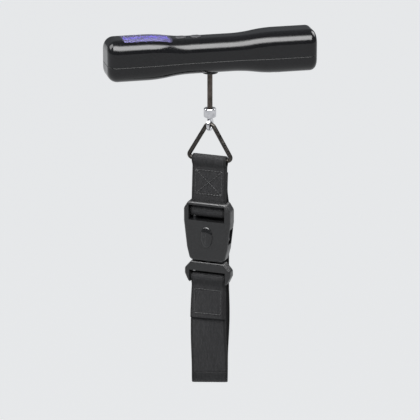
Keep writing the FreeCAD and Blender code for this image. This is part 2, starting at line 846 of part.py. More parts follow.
def make_leads():
    """Thin insulated wires inside the bar, bent over the load cell and down to the board."""
    board_top = size("Size.board_level + Size.board_thickness")
    gauge_top = size("Size.cell_level + Size.cell_height") + 0.2
    tray_top = size("Size.battery_level + Size.battery_thickness + 1.8")
    end = size("Size.board_right") - 1
    routes = {
        "battery_leads": (size("Size.battery_place") - 7, tray_top, 7.8, 1.2, 0.45),
        "sensor_leads": (size("Size.cell_hole_place"), gauge_top, 7.0, 3.2, 0.4),
    }
    for name, (start, low, high, spread, radius) in routes.items():
        tubes = []
        for y in (-spread, spread):
            corners = [(start, low), (start, high), (end, high), (end, board_top)]
            tubes.append(wire([Vector(x, y, z) for x, z in corners], radius, 1.5))
        leads = document.addObject("Part::Feature", name)
        leads.Shape = Part.makeCompound(tubes)
        finish(leads, name)


# ---- swivel and triangle ring ------------------------------------------------------------------


def make_swivel():
    """A bright barrel that turns on the stem's head, and the eye below it for the ring."""
    inner = "Size.stem_radius + Size.swivel_gap"
    pocket_radius = "Size.stem_head_radius + Size.swivel_gap"
    head_level = "Size.barrel_bottom + 1.6"
    floor = f"{head_level} - Size.swivel_gap"
    roof = f"{head_level} + Size.stem_head_height + Size.swivel_gap"
    barrel = new_body("barrel")
    revolve(
        barrel,
        [(inner, "Size.barrel_top"), ("Size.barrel_radius", "Size.barrel_top"),
         ("Size.barrel_radius", "Size.barrel_bottom"), ("0", "Size.barrel_bottom"), ("0", floor),
         (pocket_radius, floor), (pocket_radius, roof), (inner, roof)],
    )
    rim = size("Size.barrel_radius") * 2 - 0.01
    fillet(barrel, "0.9", lambda edge: edge.BoundBox.XLength > rim and edge.BoundBox.ZLength < 0.01)
    finish(turn_about_stem(barrel), "swivel_barrel")

    eye = new_body("eye")
    side_view = new_sketch(eye, "eye_side", "YZ_Plane")
    centre = Vector(0, size("Size.apex_level"), 0)
    for radius in ("Size.eye_radius", "Size.eye_hole_radius"):
        ring = sketch_circle(side_view, centre, radius)
        pin_point(side_view, ring, 3, ("0", "Size.apex_level"))
    pad(eye, side_view, "Size.eye_thickness")
    fillet(eye, "0.5", lambda edge: edge.BoundBox.ZLength > 1)
    turn_about_stem(eye)
    neck_level = "Size.apex_level + Size.eye_radius - 1.2"
    neck = cylinder("eye_neck", "0", "0", neck_level, "1.9", f"Size.barrel_bottom - ({neck_level})")
    finish(joined("eye_with_neck", [eye, neck]), "swivel_eye")


def sketch_circle(sketch, centre, radius):
    """A circle whose radius follows an expression."""
    ring = sketch.addGeometry(Part.Circle(centre, Vector(0, 0, 1), size(radius)), False)
    rule = sketch.addConstraint(Sketcher.Constraint("Radius", ring, size(radius)))
    sketch.setExpression(f"Constraints[{rule}]", radius)
    return ring


def make_triangle_ring():
    """One round wire bent into a triangle with three rounded corners."""
    base = size("Size.base_level")
    corners = [
        (Vector(0, 0, size("Size.apex_level")), size("Size.apex_bend")),
        (Vector(size("Size.base_half"), 0, base), size("Size.corner_bend")),
        (Vector(-size("Size.base_half"), 0, base), size("Size.corner_bend")),
    ]
    lift = 0
    for _ in range(20):
        half_turn = math.atan2(corners[1][0].x, corners[0][0].z + lift - base)
        lift = corners[0][1] * (1 / math.sin(half_turn) - 1)
    corners[0] = (corners[0][0] + Vector(0, 0, lift), corners[0][1])
    edges = []
    ends = []
    for index, (corner, bend) in enumerate(corners):
        before = (corners[index - 1][0] - corner).normalize()
        after = (corners[(index + 1) % 3][0] - corner).normalize()
        half_angle = before.getAngle(after) / 2
        reach = bend / math.tan(half_angle)
        inward = (before + after).normalize()
        middle = corner + inward * (bend / math.sin(half_angle) - bend)
        start, end = corner + before * reach, corner + after * reach
        edges.append(Part.Arc(start, middle, end).toShape())
        ends.append((start, end))
    for (_, leaving), (arriving, _) in zip(ends, ends[1:] + ends[:1]):
        edges.append(Part.makeLine(leaving, arriving))
    path = Part.Wire(Part.__sortEdges__(edges))
    place = path.OrderedEdges[0]
    start = place.valueAt(place.FirstParameter)
    along = place.tangentAt(place.FirstParameter)
    section = Part.Wire(Part.makeCircle(size("Size.wire_radius"), start, along))
    ring = document.addObject("Part::Feature", "triangle_ring")
    ring.Shape = path.makePipeShell([section], True, False)
    finish(turn_about_stem(ring), "triangle_ring")


# ---- side-release buckle -----------------------------------------------------------------------


def place_buckle_part(item):
    """Turns a buckle part about the stem and stands it forward of the ring."""
    bind(item, Placement__Rotation__Angle="Size.hang_turn")
    bind(item, Placement__Base__x="-sin(Size.hang_turn) * Size.buckle_offset")
    bind(item, Placement__Base__y="cos(Size.hang_turn) * Size.buckle_offset")
    return item


def front_or_back(thickness):
    """A test for the edges of a pad's two broad faces."""
    half = size(thickness) / 2

    def wanted(edge):
        return abs(edge.BoundBox.YMin) > half - 0.01 and edge.BoundBox.YLength < 0.01

    return wanted


def upright_corner(edge):
    """A test for the edges that run from front to back."""
    return edge.BoundBox.YLength > 1 and edge.BoundBox.XLength + edge.BoundBox.ZLength < 0.01


def make_cross_bar(name, level):
    """The bar that the webbing goes round, with softened edges."""
    return rounded_box(
        name, "0", "0", f"{level} - Size.cross_bar_height / 2", "Size.strap_slot_width + 3",
        "Size.cross_bar_depth", "Size.cross_bar_height", "1.2", Vector(1, 0, 0),
    )


def make_female():
    """Upper half: a tapering socket with side windows, a slot with a cross bar, and a raised oval."""
    body = new_body("female_blank")
    outline = new_sketch(body, "female_outline", "XZ_Plane")
    right = [
        ("Size.female_top_half", "Size.female_top"),
        ("Size.shoulder_half", "Size.shoulder_upper"),
        ("Size.shoulder_half", "Size.shoulder_lower"),
        ("Size.flank_half", "Size.flank_level"),
        ("Size.mouth_half", "Size.mouth_level"),
    ]
    add_polygon(outline, mirrored(right))
    pad(body, outline, "Size.female_thickness")
    fillet(body, "Size.female_corner_round", upright_corner, "CornerFillet")
    fillet(body, "Size.female_rim_round", front_or_back("Size.female_thickness"), "RimFillet")
    slot = new_sketch(body, "female_slot", "XZ_Plane")
    slot_middle = "(Size.slot_upper + Size.slot_lower) / 2"
    slot_height = "Size.slot_upper - (Size.slot_lower)"
    add_rectangle(slot, "0", slot_middle, "Size.strap_slot_width", slot_height)
    pocket_through(body, slot, "StrapSlot")
    windows = new_sketch(body, "side_windows", "XZ_Plane")
    window_middle = "(Size.side_window_upper + Size.side_window_lower) / 2"
    window_height = "Size.side_window_upper - (Size.side_window_lower)"
    for sign in ("-", ""):
        add_rectangle(windows, f"{sign}(Size.socket_half + 9)", window_middle, "18.4", window_height)
    pocket(body, windows, "Size.socket_thickness", "SideWindows")
    socket = new_sketch(body, "socket", "XZ_Plane")
    socket_middle = "(Size.socket_top + Size.mouth_level - 4) / 2"
    socket_height = "Size.socket_top - (Size.mouth_level) + 4"
    add_rectangle(socket, "0", socket_middle, "2 * Size.socket_half", socket_height)
    pocket(body, socket, "Size.socket_thickness", "Socket")

    back_notch = box(
        "back_notch", "0", "Size.female_thickness / 2 - 2.1", "Size.slot_upper - 1",
        "Size.strap_slot_width", "Size.female_thickness", "8",
    )
    opened = cut("female_opened", body, back_notch)
    oval = document.addObject("Part::Ellipsoid", "oval")
    oval.Placement.Rotation = FreeCAD.Rotation(Vector(1, 0, 0), 90)
    bind(oval, Radius1="Size.oval_rise", Radius2="Size.oval_half_width", Radius3="Size.oval_half_height")
    bind(oval, Placement__Base__y="-Size.female_thickness / 2", Placement__Base__z="Size.oval_level")
    female = joined("buckle_female", [opened, oval, make_cross_bar("female_bar", "Size.female_bar_level")])
    finish(place_buckle_part(female), "buckle_female")


def make_male():
    """Lower half: a lobed frame round the webbing's bar, with the guide that enters the socket."""
    body = new_body("male_blank")
    outline = new_sketch(body, "male_outline", "XZ_Plane")
    right = [
        ("Size.male_top_half", "Size.male_top"),
        ("Size.lobe_half", "Size.lobe_upper"),
        ("Size.lobe_half", "Size.lobe_lower"),
        ("Size.male_bottom_half", "Size.male_bottom"),
    ]
    add_polygon(outline, mirrored(right))
    pad(body, outline, "Size.male_thickness")
    fillet(body, "Size.male_corner_round", upright_corner, "CornerFillet")
    fillet(body, "Size.male_rim_round", front_or_back("Size.male_thickness"), "RimFillet")
    slot = new_sketch(body, "male_slot", "XZ_Plane")
    slot_middle = "(Size.male_slot_upper + Size.male_bottom - 2) / 2"
    slot_height = "Size.male_slot_upper - (Size.male_bottom) + 2"
    add_rectangle(slot, "0", slot_middle, "Size.strap_slot_width", slot_height)
    pocket_through(body, slot, "StrapSlot")
    guide_height = "Size.guide_top - (Size.male_top) + 2"
    guide = rounded_box(
        "guide", "0", "0", "Size.male_top - 2", "2 * Size.guide_half", "5", guide_height, "1.2", UP
    )
    male = joined("buckle_male", [body, guide, make_cross_bar("male_bar", "Size.male_bar_level")])
    finish(place_buckle_part(male), "buckle_male")


def make_prong(name, sign):
    """A springy arm with a catch that fills the socket's side window."""
    body = new_body(name + "_arm")
    outline = new_sketch(body, name + "_outline", "XZ_Plane")
    root = "Size.male_top + 0.1"
    side = [
        ("Size.prong_inner", root),
        ("Size.prong_outer - 0.6", root),
        ("Size.prong_outer", "Size.catch_lower"),
        ("Size.catch_half - 0.9", "Size.catch_lower"),
        ("Size.catch_half", "Size.catch_lower + 2"),
        ("Size.catch_half - 1.4", "Size.catch_upper"),
        ("Size.prong_outer", "Size.catch_upper"),
        ("Size.prong_inner + 1.6", "Size.prong_top"),
        ("Size.prong_inner", "Size.prong_top - 1.5"),
    ]
    add_polygon(outline, [(f"{sign}({across})", along) for across, along in side])
    pad(body, outline, "Size.prong_thickness")
    fillet(body, "0.5", front_or_back("Size.prong_thickness"))
    finish(place_buckle_part(body), name)


# ---- webbing -----------------------------------------------------------------------------------


def band(outer, holes=()):
    """A strip of webbing seen from its edge: (depth, level) outlines drawn out to the web's width."""
    half = size("Size.web_width") / 2

    def face(outline):
        return Part.Face(Part.Wire(outline)).extrude(Vector(2 * half, 0, 0))

    solid = face(outer)
    for hole in holes:
        solid = solid.cut(face(hole))
    solid.translate(Vector(-half, 0, 0))
    return solid


def rounded_outline(centres, radii):
    """The outline round two circles, one above the other: two arcs and their outer tangents."""
    (y_high, z_high), (y_low, z_low) = centres
    high, low = Vector(0, y_high, z_high), Vector(0, y_low, z_low)
    along = high - low
    length = along.Length
    along.normalize()
    across = Vector(0, along.z, -along.y)
    lean = math.asin((radii[0] - radii[1]) / length)
    points = []
    for sign in (-1, 1):
        normal = across * (sign * math.cos(lean)) - along * math.sin(lean)
        points.append((high + normal * radii[0], low + normal * radii[1]))
    (high_left, low_left), (high_right, low_right) = points
    return [
        Part.Arc(high_left, high + along * radii[0], high_right).toShape(),
        Part.makeLine(high_right, low_right),
        Part.Arc(low_right, low - along * radii[1], low_left).toShape(),
        Part.makeLine(low_left, high_left),
    ]


def webbing_item(name, shape):
    item = document.addObject("Part::Feature", name)
    item.Shape = shape
    return finish(item, name)


def loop_radii():
    """Inner radius of the web round the ring's wire, and round a buckle's cross bar."""
    wire_loop = size("Size.wire_radius + Size.web_gap")
    diagonal = math.hypot(size("Size.cross_bar_height") / 2, size("Size.cross_bar_depth") / 2)
    return wire_loop, diagonal - 0.5 + size("Size.web_gap")


def sewn_line():
    """Ends of the middle plane of the stitched double layer, which leans forward to the cross bar."""
    top = (0, size("Size.base_level") - 6)
    end = (size("Size.buckle_offset"), size("Size.female_bar_level") + 5)
    return top, end


def make_webbing_top():
    """The stitched double layer between the ring's base wire and the female half's cross bar."""
    thickness = size("Size.web_thickness")
    wire_loop, bar_loop = loop_radii()
    wire_centre = (0, size("Size.base_level"))
    bar_centre = (size("Size.buckle_offset"), size("Size.female_bar_level"))
    below_wire = (wire_centre[0], wire_centre[1] - 8)
    above_bar = (bar_centre[0], bar_centre[1] + 7)
    point = 0.05
    loops = [
        ([wire_centre, below_wire], [wire_loop, point]),
        ([above_bar, bar_centre], [point, bar_loop]),
    ]
    solid = band(rounded_outline(sewn_line(), [thickness, thickness]))
    for centres, radii in loops:
        solid = solid.cut(band(rounded_outline(centres, radii)))
    sleeves = []
    for centres, radii in loops:
        grown = [radius + thickness for radius in radii]
        sleeves.append(band(rounded_outline(centres, grown), [rounded_outline(centres, radii)]))
    turn_about_stem(webbing_item("webbing_top", solid.fuse(sleeves).removeSplitter()))


def web_section(depth, level, turn):
    """A level cross-section of one layer, turned about the stem's axis."""
    half = size("Size.web_width") / 2
    deep = size("Size.web_thickness") / 2
    rotation = FreeCAD.Rotation(UP, turn)
    corners = []
    for x, y in ((-half, -deep), (half, -deep), (half, deep), (-half, deep)):
        corners.append(rotation.multVec(Vector(x, depth + y, level)))
    return Part.makePolygon(corners + corners[:1])


def web_run(stations):
    """One layer of webbing through (depth, level, turn) stations."""
    return Part.makeLoft([web_section(*station) for station in stations], True, True)


def eased(start, end, share):
    """From start to end with a gentle beginning and end, for the twist of a run."""
    return start + (end - start) * share * share * (3 - 2 * share)


def twisted_stations(depth_high, depth_low, high, low):
    """Stations down a run whose turn eases from the buckle's to the luggage loop's."""
    turns = size("Size.hang_turn"), size("Size.loop_turn")
    twist_start = size("Size.twist_start")
    count = 7
    stations = []
    for index in range(count):
        share = index / (count - 1)
        level = high + (low - high) * share
        depth = depth_high + (depth_low - depth_high) * share
        twist = min(1, max(0, (twist_start - level) / (twist_start - low)))
        stations.append((depth, level, eased(*turns, twist)))
    return stations


def beside_top(level):
    """Depth of the layer that is sewn on behind the double layer."""
    (high_depth, high), (low_depth, low) = sewn_line()
    middle = high_depth + (low_depth - high_depth) * (high - level) / (high - low)
    return middle + 1.5 * size("Size.web_thickness") + 0.15


def make_webbing_rear():
    """The long layer: sewn in behind the top, down behind the buckle, and under the luggage handle."""
    thickness = size("Size.web_thickness")
    turn = size("Size.hang_turn")
    radius = size("Size.loop_radius")
    low = size("Size.loop_level")
    behind = size("Size.rear_offset")
    stations = []
    for alias in ("rear_start", "rear_leave"):
        level = size(f"Size.{alias}")
        stations.append((beside_top(level), level, turn))
    stations.append((behind, size("Size.rear_bend"), turn))
    stations += twisted_stations(behind, radius + thickness / 2, size("Size.twist_start"), low)
    run = web_run(stations)
    outer = Part.makeCylinder(radius + thickness, size("Size.web_width"), Vector(0, 0, low), Vector(1, 0, 0))
    inner = Part.makeCylinder(radius, size("Size.web_width"), Vector(0, 0, low), Vector(1, 0, 0))
    below = Part.makeBox(size("Size.web_width"), 60, 30, Vector(0, -30, low - 30))
    turned_up = outer.cut(inner).common(below)
    turned_up.translate(Vector(-size("Size.web_width") / 2, 0, 0))
    turned_up.rotate(Vector(), UP, size("Size.loop_turn"))
    webbing_item("webbing_rear", run.fuse(turned_up).removeSplitter())


def make_webbing_front():
    """The run up to the male half, and the end that folds over its cross bar and is sewn down."""
    thickness = size("Size.web_thickness")
    turn = size("Size.hang_turn")
    offset = size("Size.buckle_offset")
    radius = size("Size.loop_radius")
    low = size("Size.loop_level")
    _, bar_loop = loop_radii()
    bar = size("Size.male_bar_level")
    join = bar - bar_loop - 2.6
    start = offset + thickness * 0.75
    end = -radius - thickness / 2
    stations = twisted_stations(start, end, join, low)
    depth, _, angle = stations[0]
    stations[0] = (depth, join - 0.45, angle)
    webbing_item("webbing_front", web_run(stations))

    share = (join - size("Size.fold_end")) / (join - low)
    slope_end = start + (end - start) * share
    centres = [(offset, bar), (offset, join + 1.2)]
    outside = rounded_outline(centres, [bar_loop + thickness, thickness + 0.1])
    loop = band(outside, [rounded_outline(centres, [bar_loop, 0.1])])
    gap = 0.12
    tail_stations = []
    for depth, level, angle in stations_until(twisted_stations(start, end, join, low), slope_end):
        tail_stations.append((depth - thickness - gap, level, angle))
    loop.rotate(Vector(), UP, turn)
    first_depth, first_level, first_turn = tail_stations[0]
    tail_stations.insert(0, (first_depth, first_level + 2.2, first_turn))
    webbing_item("webbing_fold", loop.fuse(web_run(tail_stations)).removeSplitter())


def stations_until(stations, last_depth):
    """The stations of the folded end: those of the run beside it, cut off at one depth."""
    kept = [station for station in stations if station[0] > last_depth]
    (d0, l0, t0), (d1, l1, t1) = kept[-1], stations[len(kept)]
    share = (last_depth - d0) / (d1 - d0)
    return kept + [(last_depth, l0 + (l1 - l0) * share, t0 + (t1 - t0) * share)]


# ---- the whole scale ---------------------------------------------------------------------------


def check_everything():
    """Stops with the names of any failed object or bad sub-part."""
    failed = [item.Name for item in document.Objects if {"Invalid", "Error"} & set(item.State)]
    assert not failed, f"failed objects: {failed}"
    for item in subparts:
        assert not item.Shape.isNull() and item.Shape.isValid(), f"bad shape: {item.Label}"


def main():
    blank = make_bar_blank()
    make_upper_shell(blank)
    make_lower_shell(blank)
    make_battery_door(blank)
    make_display(blank)
    make_electronics()
    for name, place in BUTTONS.items():
        make_button(name, place)
    make_load_cell()
    make_stem()
    make_case_screws()
    make_battery()
    make_leads()
    make_swivel()
    make_triangle_ring()
    make_female()
    make_male()
    make_prong("prong_left", "-")
    make_prong("prong_right", "")
    make_webbing_top()
    make_webbing_rear()
    make_webbing_front()
    document.recompute()
    check_everything()
    os.makedirs("parts", exist_ok=True)
    for item in subparts:
        item.Shape.exportStep(f"parts/{item.Label}.step")
        volume = round(item.Shape.Volume, 1)
        print(item.Label, volume, "mm3", len(item.Shape.Solids), "solids")


main()
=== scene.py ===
import json
import math
import random

import bmesh
import bpy
from mathutils import Matrix, Vector


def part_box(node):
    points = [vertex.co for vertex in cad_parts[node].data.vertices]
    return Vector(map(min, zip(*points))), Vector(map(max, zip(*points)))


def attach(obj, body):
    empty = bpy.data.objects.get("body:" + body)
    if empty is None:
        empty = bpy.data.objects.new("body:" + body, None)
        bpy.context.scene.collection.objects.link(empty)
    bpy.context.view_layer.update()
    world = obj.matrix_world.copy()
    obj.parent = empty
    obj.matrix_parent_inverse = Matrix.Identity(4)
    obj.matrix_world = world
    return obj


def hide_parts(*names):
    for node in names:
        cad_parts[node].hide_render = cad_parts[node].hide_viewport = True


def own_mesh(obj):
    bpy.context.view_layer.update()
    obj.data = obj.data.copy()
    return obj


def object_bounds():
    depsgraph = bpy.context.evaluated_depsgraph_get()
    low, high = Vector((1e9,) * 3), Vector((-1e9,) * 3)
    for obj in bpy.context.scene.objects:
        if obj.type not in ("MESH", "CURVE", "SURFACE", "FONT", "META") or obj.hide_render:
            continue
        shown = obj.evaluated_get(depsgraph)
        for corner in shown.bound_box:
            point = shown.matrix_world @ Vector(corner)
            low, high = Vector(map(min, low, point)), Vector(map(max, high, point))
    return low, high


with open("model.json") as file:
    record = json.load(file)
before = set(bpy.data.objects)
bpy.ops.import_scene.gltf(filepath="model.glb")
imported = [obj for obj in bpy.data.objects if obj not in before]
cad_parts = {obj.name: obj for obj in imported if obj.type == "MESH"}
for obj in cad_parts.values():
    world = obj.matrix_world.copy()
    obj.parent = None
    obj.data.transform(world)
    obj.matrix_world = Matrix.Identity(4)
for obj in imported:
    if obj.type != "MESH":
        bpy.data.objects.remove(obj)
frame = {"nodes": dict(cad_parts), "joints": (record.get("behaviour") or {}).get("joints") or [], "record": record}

CAD_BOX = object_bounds()
MM = 0.001
JOINTS = {joint["name"]: joint for joint in frame["joints"]}
MOUNTS = {mount["name"]: mount for mount in frame["record"]["mounts"]}


# ---- measures in metres, from the frame where it gives them ------------------------------------

BASE_WIRE = Vector(JOINTS["strap_swing"]["pos_m"])
SWING_AXIS = Vector(JOINTS["strap_swing"]["axis"])
HANG_TURN = math.atan2(SWING_AXIS.y, SWING_AXIS.x)
LOOP = MOUNTS["luggage_loop"]
LOOP_CENTRE = Vector(LOOP["pos_m"])
LOOP_TURN = math.atan2(LOOP["axis"][1], LOOP["axis"][0])
LOOP_RADIUS = LOOP["dims"]["r_mm"] * MM
WEB_WIDTH = LOOP["dims"]["length_mm"] * MM
WEB_THICKNESS = 1.4 * MM
LAYER = WEB_THICKNESS / 2
LEFT_ROOT = Vector(JOINTS["squeeze_left"]["pos_m"])
RIGHT_ROOT = Vector(JOINTS["squeeze_right"]["pos_m"])
BUCKLE_CENTRE = (LEFT_ROOT + RIGHT_ROOT) / 2
DEPTH_AXIS = Vector((-math.sin(HANG_TURN), math.cos(HANG_TURN), 0))
BUCKLE_DEPTH = BUCKLE_CENTRE.dot(DEPTH_AXIS)
OVAL_RISE = 18.4 * MM
OVAL_FORWARD = 5.3 * MM
OVAL_CENTRE = DEPTH_AXIS * (BUCKLE_DEPTH - OVAL_FORWARD) + Vector((0, 0, BUCKLE_CENTRE.z + OVAL_RISE))
OVAL_REACH = (4.5 * MM, 4 * MM, 7.7 * MM)

# The webbing's levels and wraps. Depths are measured square to its face, and grow to the rear.
TOP_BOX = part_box("webbing_top")
REAR_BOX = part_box("webbing_rear")
FOLD_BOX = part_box("webbing_fold")
WRAP_OUTSIDE = 3.65 * MM
BAR_WRAP = WRAP_OUTSIDE - LAYER
WIRE_WRAP = TOP_BOX[1].z - BASE_WIRE.z - LAYER
FEMALE_BAR = TOP_BOX[0].z + WRAP_OUTSIDE
MALE_BAR = FOLD_BOX[1].z - WRAP_OUTSIDE
SEWN_TOP = BASE_WIRE.z - 6 * MM
SEWN_END = FEMALE_BAR + 5 * MM
PINCHED_GAP = LAYER + 0.02 * MM
WIRE_PINCH_START = BASE_WIRE.z - 1.4 * MM
WIRE_PINCH_REACH = 4.2 * MM
BAR_PINCH_REACH = 7 * MM
REAR_LEAVE = FEMALE_BAR + 15.3 * MM
REAR_BEND = FEMALE_BAR + 4.8 * MM
REAR_DEPTH = 4.6 * MM
REAR_GAP = 0.15 * MM
TWIST_START = LOOP_CENTRE.z + 58.6 * MM
FRONT_TOP = MALE_BAR - 4.85 * MM
FRONT_DEPTH = BUCKLE_DEPTH + 0.75 * WEB_THICKNESS
FOLD_END = FOLD_BOX[0].z
FOLD_LIFT = WEB_THICKNESS + 0.08 * MM
TAIL_TOP = FRONT_TOP - 1.0 * MM
SEAM_GAP = 0.1 * MM
ROUTE_SPACING = 1.0 * MM
TIGHT_SPACING = 0.6 * MM
LONG_SPACING = 0.8 * MM


# ---- camera, light and floor -------------------------------------------------------------------

CAMERA_AZIMUTH = math.radians(-13)
CAMERA_ELEVATION = math.radians(18)
CAMERA_DISTANCE = 2.3
OBJECT_FILL = 0.86
SENSOR_WIDTH = 36
FLOOR_DROP = 2.4
FLOOR_REACH = 60.0
KEY_AZIMUTH = -20
KEY_ELEVATION = 58
REAR_AZIMUTH = 112
REAR_ELEVATION = 40


def direction(azimuth, elevation):
    """Unit vector from the object towards a place round it; azimuth 0 is straight in front."""
    level = math.cos(elevation)
    return Vector((math.sin(azimuth) * level, -math.cos(azimuth) * level, math.sin(elevation)))


def make_camera():
    """A long lens that frames the object's full height, seen from a little above."""
    low, high = CAD_BOX
    centre = (low + high) / 2
    towards = direction(CAMERA_AZIMUTH, CAMERA_ELEVATION)
    data = bpy.data.cameras.new("camera")
    camera = bpy.data.objects.new("camera", data)
    bpy.context.collection.objects.link(camera)
    camera.location = centre + towards * CAMERA_DISTANCE
    camera.rotation_mode = "QUATERNION"
    camera.rotation_quaternion = (-towards).to_track_quat("-Z", "Y")
    size = high - low
    tall = size.z * math.cos(CAMERA_ELEVATION) + size.y * math.sin(CAMERA_ELEVATION)
    data.sensor_width = SENSOR_WIDTH
    data.lens = SENSOR_WIDTH * CAMERA_DISTANCE * OBJECT_FILL / tall
    data.clip_start = 0.01
    data.clip_end = 500
    bpy.context.scene.camera = camera


def soft_light(name, azimuth, elevation, distance, size, power):
    """A soft rectangular light that faces the object and isn't seen itself."""
    data = bpy.data.lights.new(name, "AREA")
    data.shape = "RECTANGLE"
    data.size, data.size_y = size
    data.energy = power
    light = bpy.data.objects.new(name, data)
    towards = direction(math.radians(azimuth), math.radians(elevation))
    light.location = (CAD_BOX[0] + CAD_BOX[1]) / 2 + towards * distance
    light.rotation_mode = "QUATERNION"
    light.rotation_quaternion = (-towards).to_track_quat("-Z", "Y")
    light.visible_camera = False
    bpy.context.collection.objects.link(light)
    return light


def make_lights():
    """A key from above the front, a strip that only gloss reflects, and two lights behind."""
    soft_light("key", KEY_AZIMUTH, KEY_ELEVATION, 1.3, (1.8, 1.1), 30)
    highlight = soft_light("highlight", KEY_AZIMUTH, KEY_ELEVATION, 1.25, (1.7, 0.7), 30)
    highlight.visible_diffuse = False
    soft_light("rear_left", -REAR_AZIMUTH, REAR_ELEVATION, 1.5, (0.8, 0.8), 12)
    soft_light("rear_right", REAR_AZIMUTH, REAR_ELEVATION, 1.5, (0.8, 0.8), 14)


def make_world():
    """A pale surround to look at, which is dimmer as a source of light, as a dark studio room is."""
    world = bpy.data.worlds.new("studio")
    world.use_nodes = True
    tree = world.node_tree
    room = tree.nodes["Background"]
    room.inputs["Color"].default_value = (0.9, 0.95, 1, 1)
    room.inputs["Strength"].default_value = 0.22
    surround = tree.nodes.new("ShaderNodeBackground")
    surround.inputs["Color"].default_value = (0.81, 0.82, 0.83, 1)
    path = tree.nodes.new("ShaderNodeLightPath")
    mix = tree.nodes.new("ShaderNodeMixShader")
    tree.links.new(path.outputs["Is Camera Ray"], mix.inputs["Fac"])
    tree.links.new(room.outputs["Background"], mix.inputs[1])
    tree.links.new(surround.outputs["Background"], mix.inputs[2])
    tree.links.new(mix.outputs["Shader"], tree.nodes["World Output"].inputs["Surface"])
    bpy.context.scene.world = world
    bpy.context.scene.view_settings.view_transform = "Standard"


def make_floor():
    """A plain pale floor, far enough below the hanging scale for a look from underneath."""
    level = CAD_BOX[0].z - FLOOR_DROP
    signs = ((-1, -1), (1, -1), (1, 1), (-1, 1))
    corners = [(x * FLOOR_REACH, y * FLOOR_REACH, level) for x, y in signs]
    floor = object_from_faces("floor", corners, [(0, 1, 2, 3)])
    floor.data.materials.append(make_floor_material())


# ---- small builders ----------------------------------------------------------------------------


def shown_object(name, mesh, smooth=False):
    """Puts a finished mesh into the scene."""
    if smooth:
        mesh.polygons.foreach_set("use_smooth", [True] * len(mesh.polygons))
    item = bpy.data.objects.new(name, mesh)
    bpy.context.collection.objects.link(item)
    return item


def object_from_faces(name, verts, faces, smooth=False):
    """A new object from points and faces."""
    mesh = bpy.data.meshes.new(name)
    mesh.from_pydata([tuple(vert) for vert in verts], [], faces)
    mesh.validate()
    mesh.update()
    return shown_object(name, mesh, smooth)


def object_from_bmesh(name, work, smooth=False):
    """A new object from a bmesh, which is freed."""
    mesh = bpy.data.meshes.new(name)
    work.to_mesh(mesh)
    work.free()
    return shown_object(name, mesh, smooth)


def eased(share):
    """A share from 0 to 1 that starts and ends gently."""
    share = min(1.0, max(0.0, share))
    return share * share * (3 - 2 * share)


def between(start, end, share):
    """The value that share of the way from start to end."""
    return start + (end - start) * share


MIX_COLOUR_SOCKETS = ("Factor_Float", "A_Color", "B_Color")


class Paint:
    """A material being made: a Principled shader and short ways to add texture to it."""

    def __init__(self, name):
        self.material = bpy.data.materials.new(name)
        self.material.use_nodes = True
        self.tree = self.material.node_tree
        self.shader = self.tree.nodes["Principled BSDF"]

    def set(self, **sockets):
        """Sets shader sockets; an underscore in a name stands for a space."""
        for name, value in sockets.items():
            socket = self.shader.inputs[name.replace("_", " ")]
            is_colour = hasattr(value, "__len__") and len(value) == 3
            socket.default_value = (*value, 1) if is_colour else value
        return self

    def node(self, kind, **values):
        """Adds a node and sets its properties and sockets."""
        node = self.tree.nodes.new(kind)
        for name, value in values.items():
            if hasattr(node, name):
                setattr(node, name, value)
            else:
                node.inputs[name.replace("_", " ")].default_value = value
        return node

    def link(self, output, target):
        self.tree.links.new(output, target)

    def place(self, scale=(1, 1, 1), space="Object"):
        """Texture coordinates: metres of the object, or millimetres of the mesh's own layout."""
        coordinates = self.node("ShaderNodeTexCoord")
        mapping = self.node("ShaderNodeMapping")
        mapping.inputs["Scale"].default_value = scale
        self.link(coordinates.outputs[space], mapping.inputs["Vector"])
        return mapping.outputs["Vector"]

    def noise(self, scale, detail=4, where=None, roughness=0.55):
        node = self.node("ShaderNodeTexNoise", Scale=scale, Detail=detail, Roughness=roughness)
        self.link(where or self.place(), node.inputs["Vector"])
        return node.outputs["Fac"]

    def ramp(self, value, low, high, start=0.3, end=0.7):
        """Maps a value between start and end onto low to high."""
        node = self.node("ShaderNodeMapRange")
        node.inputs["From Min"].default_value = start
        node.inputs["From Max"].default_value = end
        node.inputs["To Min"].default_value = low
        node.inputs["To Max"].default_value = high
        self.link(value, node.inputs["Value"])
        return node.outputs["Result"]

    def colours(self, value, stops):
        """A colour ramp over a value, from (position, colour) pairs."""
        node = self.node("ShaderNodeValToRGB")
        elements = node.color_ramp.elements
        while len(elements) < len(stops):
            elements.new(0.5)
        for element, (position, colour) in zip(elements, stops):
            element.position = position
            element.color = (*colour, 1)
        self.link(value, node.inputs["Fac"])
        return node.outputs["Color"]

    def mixed(self, share, colour, other):
        """A colour that turns into another, plain one as a share goes from 0 to 1."""
        node = self.node("ShaderNodeMix", data_type="RGBA")
        sockets = {socket.identifier: socket for socket in node.inputs}
        factor, first, second = (sockets[name] for name in MIX_COLOUR_SOCKETS)
        self.link(share, factor)
        self.link(colour, first)
        second.default_value = (*other, 1)
        return next(output for output in node.outputs if output.identifier == "Result_Color")

    def roughness(self, value):
        self.link(value, self.shader.inputs["Roughness"])

    def colour(self, value):
        self.link(value, self.shader.inputs["Base Color"])

    def bump(self, height, distance, strength=1.0, below=None):
        """Adds relief of a height in metres; returns the normal, to stack another on it."""
        node = self.node("ShaderNodeBump", Strength=strength, Distance=distance)
        self.link(height, node.inputs["Height"])
        if below is not None:
            self.link(below, node.inputs["Normal"])
        self.link(node.outputs["Normal"], self.shader.inputs["Normal"])
        return node.outputs["Normal"]

    def math(self, operation, *values):
        """Works out a value from numbers and other nodes' outputs."""
        node = self.node("ShaderNodeMath", operation=operation)
        for socket, value in zip(node.inputs, values):
            if isinstance(value, (int, float)):
                socket.default_value = value
            else:
                self.link(value, socket)
        return node.outputs[0]


# ---- materials ---------------------------------------------------------------------------------


